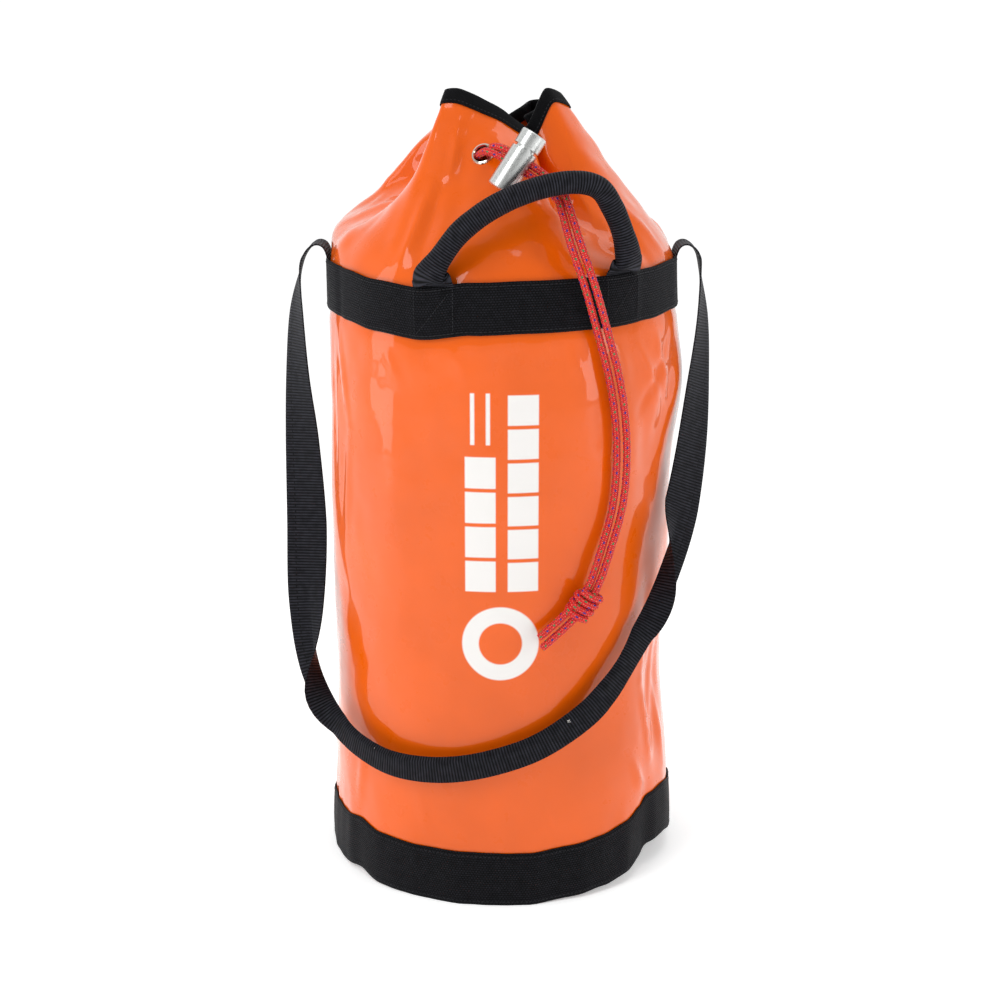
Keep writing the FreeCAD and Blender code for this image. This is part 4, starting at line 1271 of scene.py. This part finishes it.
def strand_points(in_slot, side, tail_side, tail_length):
    """One strand's route: lock, hang, through the knot, tail. Millimetres."""
    points = [SLOT_CENTRE + in_slot]
    for middle, share in HANG_POINTS:
        points.append(middle + in_slot * (1 - share) + Vector((side * SIDE_GAP * share, 0, 0)))
    across = TAIL_DIRECTION.cross(FRONT).normalized() * (tail_side * SIDE_GAP)
    root = KNOT_CENTRE + TAIL_DIRECTION * (KNOT_HALF_LENGTH - 3) + across
    points.append(root + TAIL_DIRECTION * (tail_length / 2) + Vector((0, 1.0, -1.0)))
    points.append(root + TAIL_DIRECTION * tail_length)
    points.insert(-2, root)
    return points


def loop_points():
    """The route through the eyelets, from the lock and back to it. Millimetres."""
    eyelets = [eyelet_frame(cell)[0] / MM for cell in EYELET_CELLS]
    beside = (Vector(COLUMNS[0][1]) - Vector(COLUMNS[-1][1])).normalized() * 3.2
    upper, lower = lock_axis() * HALF_GAP, lock_axis() * -HALF_GAP
    straight = slot_run() * 22
    return [
        SLOT_CENTRE + lower, SLOT_CENTRE + lower - straight, eyelets[0] - beside,
        Vector((-23, -56, 584)), Vector((-38, -38, 583)), eyelets[1], Vector((-54, -16, 592)), eyelets[2],
        Vector((-33, -1, 578)), Vector((-38, 22, 584)), Vector((-54, 40, 590)), Vector((-42, 54, 590)),
        eyelets[3], Vector((0, 68, 589)), eyelets[4],
        Vector((42, 46, 590)), eyelets[5], Vector((60, -2, 590)), eyelets[6], Vector((56, -30, 592)),
        Vector((34, -26, 590)), Vector((12, -34, 590)), Vector((-4, -54, 592)), eyelets[0] + beside,
        SLOT_CENTRE + upper - straight, SLOT_CENTRE + upper,
    ]


def line_through(points):
    """Evenly spaced points on the smooth spline of a route given in millimetres."""
    curve = bpy.data.curves.new("route", "CURVE")
    curve.dimensions = "3D"
    curve.resolution_u = 16
    spline = curve.splines.new("NURBS")
    spline.points.add(len(points) - 1)
    for spot, point in zip(spline.points, points):
        spot.co = (*(Vector(point) * MM), 1.0)
    spline.order_u = 3
    spline.use_endpoint_u = True
    carrier = bpy.data.objects.new("route", curve)
    bpy.context.collection.objects.link(carrier)
    mesh = bpy.data.meshes.new_from_object(carrier)
    raw = [vertex.co.copy() for vertex in mesh.vertices]
    bpy.data.objects.remove(carrier)
    bpy.data.curves.remove(curve)
    bpy.data.meshes.remove(mesh)
    step = 0.7 * MM
    line, due, travelled = [raw[0]], step, 0.0
    for here, there in zip(raw, raw[1:]):
        span = (there - here).length
        while span and due <= travelled + span:
            line.append(here.lerp(there, (due - travelled) / span))
            due += step
        travelled += span
    if (line[-1] - raw[-1]).length > step * 0.3:
        line.append(raw[-1])
    return line


def braided_tube(name, line, melted_end=False):
    """A braided cord along a line: crossing yarns stand up from it, and a cut end is melted to a dome."""
    radius = bpy.context.scene.rope_bag_sizes.cord_diameter / 2
    corners = 24
    run = (line[1] - line[0]).normalized()
    side = run.orthogonal().normalized()
    sections = []
    travelled = 0.0
    for k, centre in enumerate(line):
        ahead = line[min(k + 1, len(line) - 1)] - line[max(k - 1, 0)]
        new_run = ahead.normalized()
        side = run.rotation_difference(new_run) @ side
        side = (side - new_run * side.dot(new_run)).normalized()
        run = new_run
        travelled += (line[k] - line[k - 1]).length if k else 0.0
        section = []
        left = len(line) - 1 - k
        close = math.sqrt(max(0.0, 1 - (1 - min(left / 3, 1.0)) ** 2)) if melted_end else 1.0
        for c in range(corners):
            turn = math.tau * c / corners
            phase = math.tau * travelled / (3.2 * MM)
            yarn = max(math.sin(phase + 4 * turn), math.sin(phase - 4 * turn))
            reach = radius * (0.965 + 0.035 * yarn) * (0.25 + 0.75 * close)
            section.append(centre + (side * math.cos(turn) + run.cross(side) * math.sin(turn)) * reach)
        sections.append(section)
    tube = skin(name, sections, capped=True)
    face_outwards(tube)
    return tube


class ROPEBAG_OT_drawcord(bpy.types.Operator):
    """Braided drawcord: the loop through the eyelets, two strands through the lock, and the knot"""

    bl_idname = "ropebag.drawcord"
    bl_label = "Drawcord"

    def execute(self, context):
        cord_finish = finish_named("cord")
        loop = braided_tube("drawcord_in_eyelets", line_through(loop_points()))
        hand_in(loop, "bag", "red_cord", cord_finish, "drawcord_loop", angle=80)
        # The knot's turns wind round both strands, a little askew.
        wind = []
        side_way = KNOT_AXIS.cross(FRONT).normalized()
        deep_way = side_way.cross(KNOT_AXIS).normalized()
        for k in range(round(KNOT_TURNS * KNOT_SPOTS) + 1):
            angle = math.tau * k / KNOT_SPOTS + 0.6
            along = (k / KNOT_SPOTS - KNOT_TURNS / 2) * KNOT_PITCH + KNOT_LEAN * math.sin(angle + 0.8)
            wind.append(KNOT_CENTRE + KNOT_AXIS * along + side_way * KNOT_WIDE * math.cos(angle)
                        + deep_way * KNOT_DEEP * math.sin(angle))
        knot = braided_tube("drawcord_knot_turns", line_through(wind))
        hand_in(knot, "bag", "red_cord", cord_finish, "drawcord_knot", angle=80)
        upper, lower = lock_axis() * HALF_GAP, lock_axis() * -HALF_GAP
        for word, in_slot, side, tail_side, tail, length in (
                ("left", lower, -1, 1, 34, 0.42), ("right", upper, 1, -1, 38, 0.43)):
            line = line_through(strand_points(in_slot, side, tail_side, tail))
            strand = braided_tube("drawcord_" + word, line, melted_end=True)
            hand_in(strand, "bag", "red_cord", cord_finish, "drawcord_strand_" + word,
                    "drawcord_tail_" + word, angle=80)
        return {"FINISHED"}


class ROPEBAG_OT_metalware(bpy.types.Operator):
    """Finishes of the cord lock, its spring, the eyelets and their washers"""

    bl_idname = "ropebag.metalware"
    bl_label = "Lock and eyelets"

    def execute(self, context):
        finishes = {"cord_lock_barrel": "aluminium", "cord_lock_plunger": "aluminium",
                    "cord_lock_spring": "spring"}
        for number in range(1, len(EYELET_CELLS) + 1):
            finishes["eyelet_%d" % number] = "nickel"
            finishes["eyelet_washer_%d" % number] = "nickel"
        for node, finish in finishes.items():
            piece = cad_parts[node]
            piece.data.materials.clear()
            piece.data.materials.append(finish_named(finish))
        return {"FINISHED"}


# ---------------------------------------------------------------- stage

# Soft boxes: name, place, aim, width, height and power.
SOFT_BOXES = [
    ("key_box", (-1.3, -1.5, 1.7), (0, 0, 0.4), 0.9, 1.4, 17),
    ("side_box", (1.7, -0.9, 0.8), (0, 0, 0.3), 0.5, 1.5, 7),
    ("edge_box", (-1.7, -0.3, 0.7), (0, 0, 0.3), 0.5, 1.4, 5),
    ("top_box", (0.2, -0.3, 2.2), (0, 0, 0.3), 1.2, 0.9, 8),
]
CAMERA_PLACE = (0.0, -1.5145, 0.688)
CAMERA_DIP = 0.2496


def soft_light(name, place, aim, width, height, power):
    """A rectangular soft box."""
    bpy.ops.object.light_add(type="AREA", location=place)
    lamp = bpy.context.object
    lamp.name = name
    lamp.data.shape = "RECTANGLE"
    lamp.data.size, lamp.data.size_y = width, height
    lamp.data.energy = power
    lamp.rotation_euler = (Vector(aim) - Vector(place)).to_track_quat("-Z", "Y").to_euler()


class ROPEBAG_OT_stage(bpy.types.Operator):
    """White paper sweep, soft boxes and the camera"""

    bl_idname = "ropebag.stage"
    bl_label = "Stage"

    def execute(self, context):
        select_nothing()
        bpy.ops.mesh.primitive_plane_add(size=60.0, location=(0, 0, 0))
        paper = context.object
        paper.name = paper.data.name = "paper_sweep"
        paper.data.materials.append(finish_named("paper"))
        world = bpy.data.worlds.new("studio")
        context.scene.world = world
        world.use_nodes = True
        # The room is white behind the bag and dimmer in front of it, so that the gloss has something to
        # show.
        tree = world.node_tree
        ways = add(tree, "SeparateXYZ", {0: add(tree, "TexCoord").outputs["Generated"]})
        strength = spread(tree, ways.outputs[1], -0.3, 0.5, 0.4, 1.05)
        tree.links.new(strength, tree.nodes["Background"].inputs["Strength"])
        tree.nodes["Background"].inputs["Color"].default_value = linear("#ffffff")
        for soft_box in SOFT_BOXES:
            soft_light(*soft_box)
        bpy.ops.object.camera_add(location=CAMERA_PLACE, rotation=(math.pi / 2 - CAMERA_DIP, 0, 0))
        camera = context.object
        camera.name = "studio_camera"
        camera.data.sensor_width = 36.0
        camera.data.lens = 66.42
        camera.data.shift_x = -0.0017
        camera.data.clip_end = 50.0
        context.scene.camera = camera
        context.scene.view_settings.view_transform = "Standard"
        return {"FINISHED"}


# ---------------------------------------------------------------- panel and main

BUILD_ORDER = [ROPEBAG_OT_stage, ROPEBAG_OT_drawcord, ROPEBAG_OT_metalware, ROPEBAG_OT_wall, ROPEBAG_OT_base,
               ROPEBAG_OT_collar, ROPEBAG_OT_binding, ROPEBAG_OT_bands, ROPEBAG_OT_handle, ROPEBAG_OT_strap]


class ROPEBAG_PT_sidebar(bpy.types.Panel):
    """Lists the bag's sizes, colours and building steps"""

    bl_idname = "ROPEBAG_PT_sidebar"
    bl_label = "Rope bag"
    bl_space_type = "VIEW_3D"
    bl_region_type = "UI"
    bl_category = "Rope bag"

    def draw(self, context):
        for group in (context.scene.rope_bag_sizes, context.scene.rope_bag_colours):
            for name in group.__annotations__:
                self.layout.prop(group, name)
        for step in BUILD_ORDER:
            self.layout.operator(step.bl_idname)


CLASSES = [RopeBagSizes, RopeBagColours, *BUILD_ORDER, ROPEBAG_PT_sidebar]


def register():
    for one in CLASSES:
        bpy.utils.register_class(one)
    bpy.types.Scene.rope_bag_sizes = PointerProperty(type=RopeBagSizes)
    bpy.types.Scene.rope_bag_colours = PointerProperty(type=RopeBagColours)


def unregister():
    del bpy.types.Scene.rope_bag_colours
    del bpy.types.Scene.rope_bag_sizes
    for one in reversed(CLASSES):
        bpy.utils.unregister_class(one)


def main():
    """Builds everything in order."""
    register()
    for step in BUILD_ORDER:
        group, name = step.bl_idname.split(".")
        getattr(getattr(bpy.ops, group), name)()


if __name__ == "__main__":
    main()
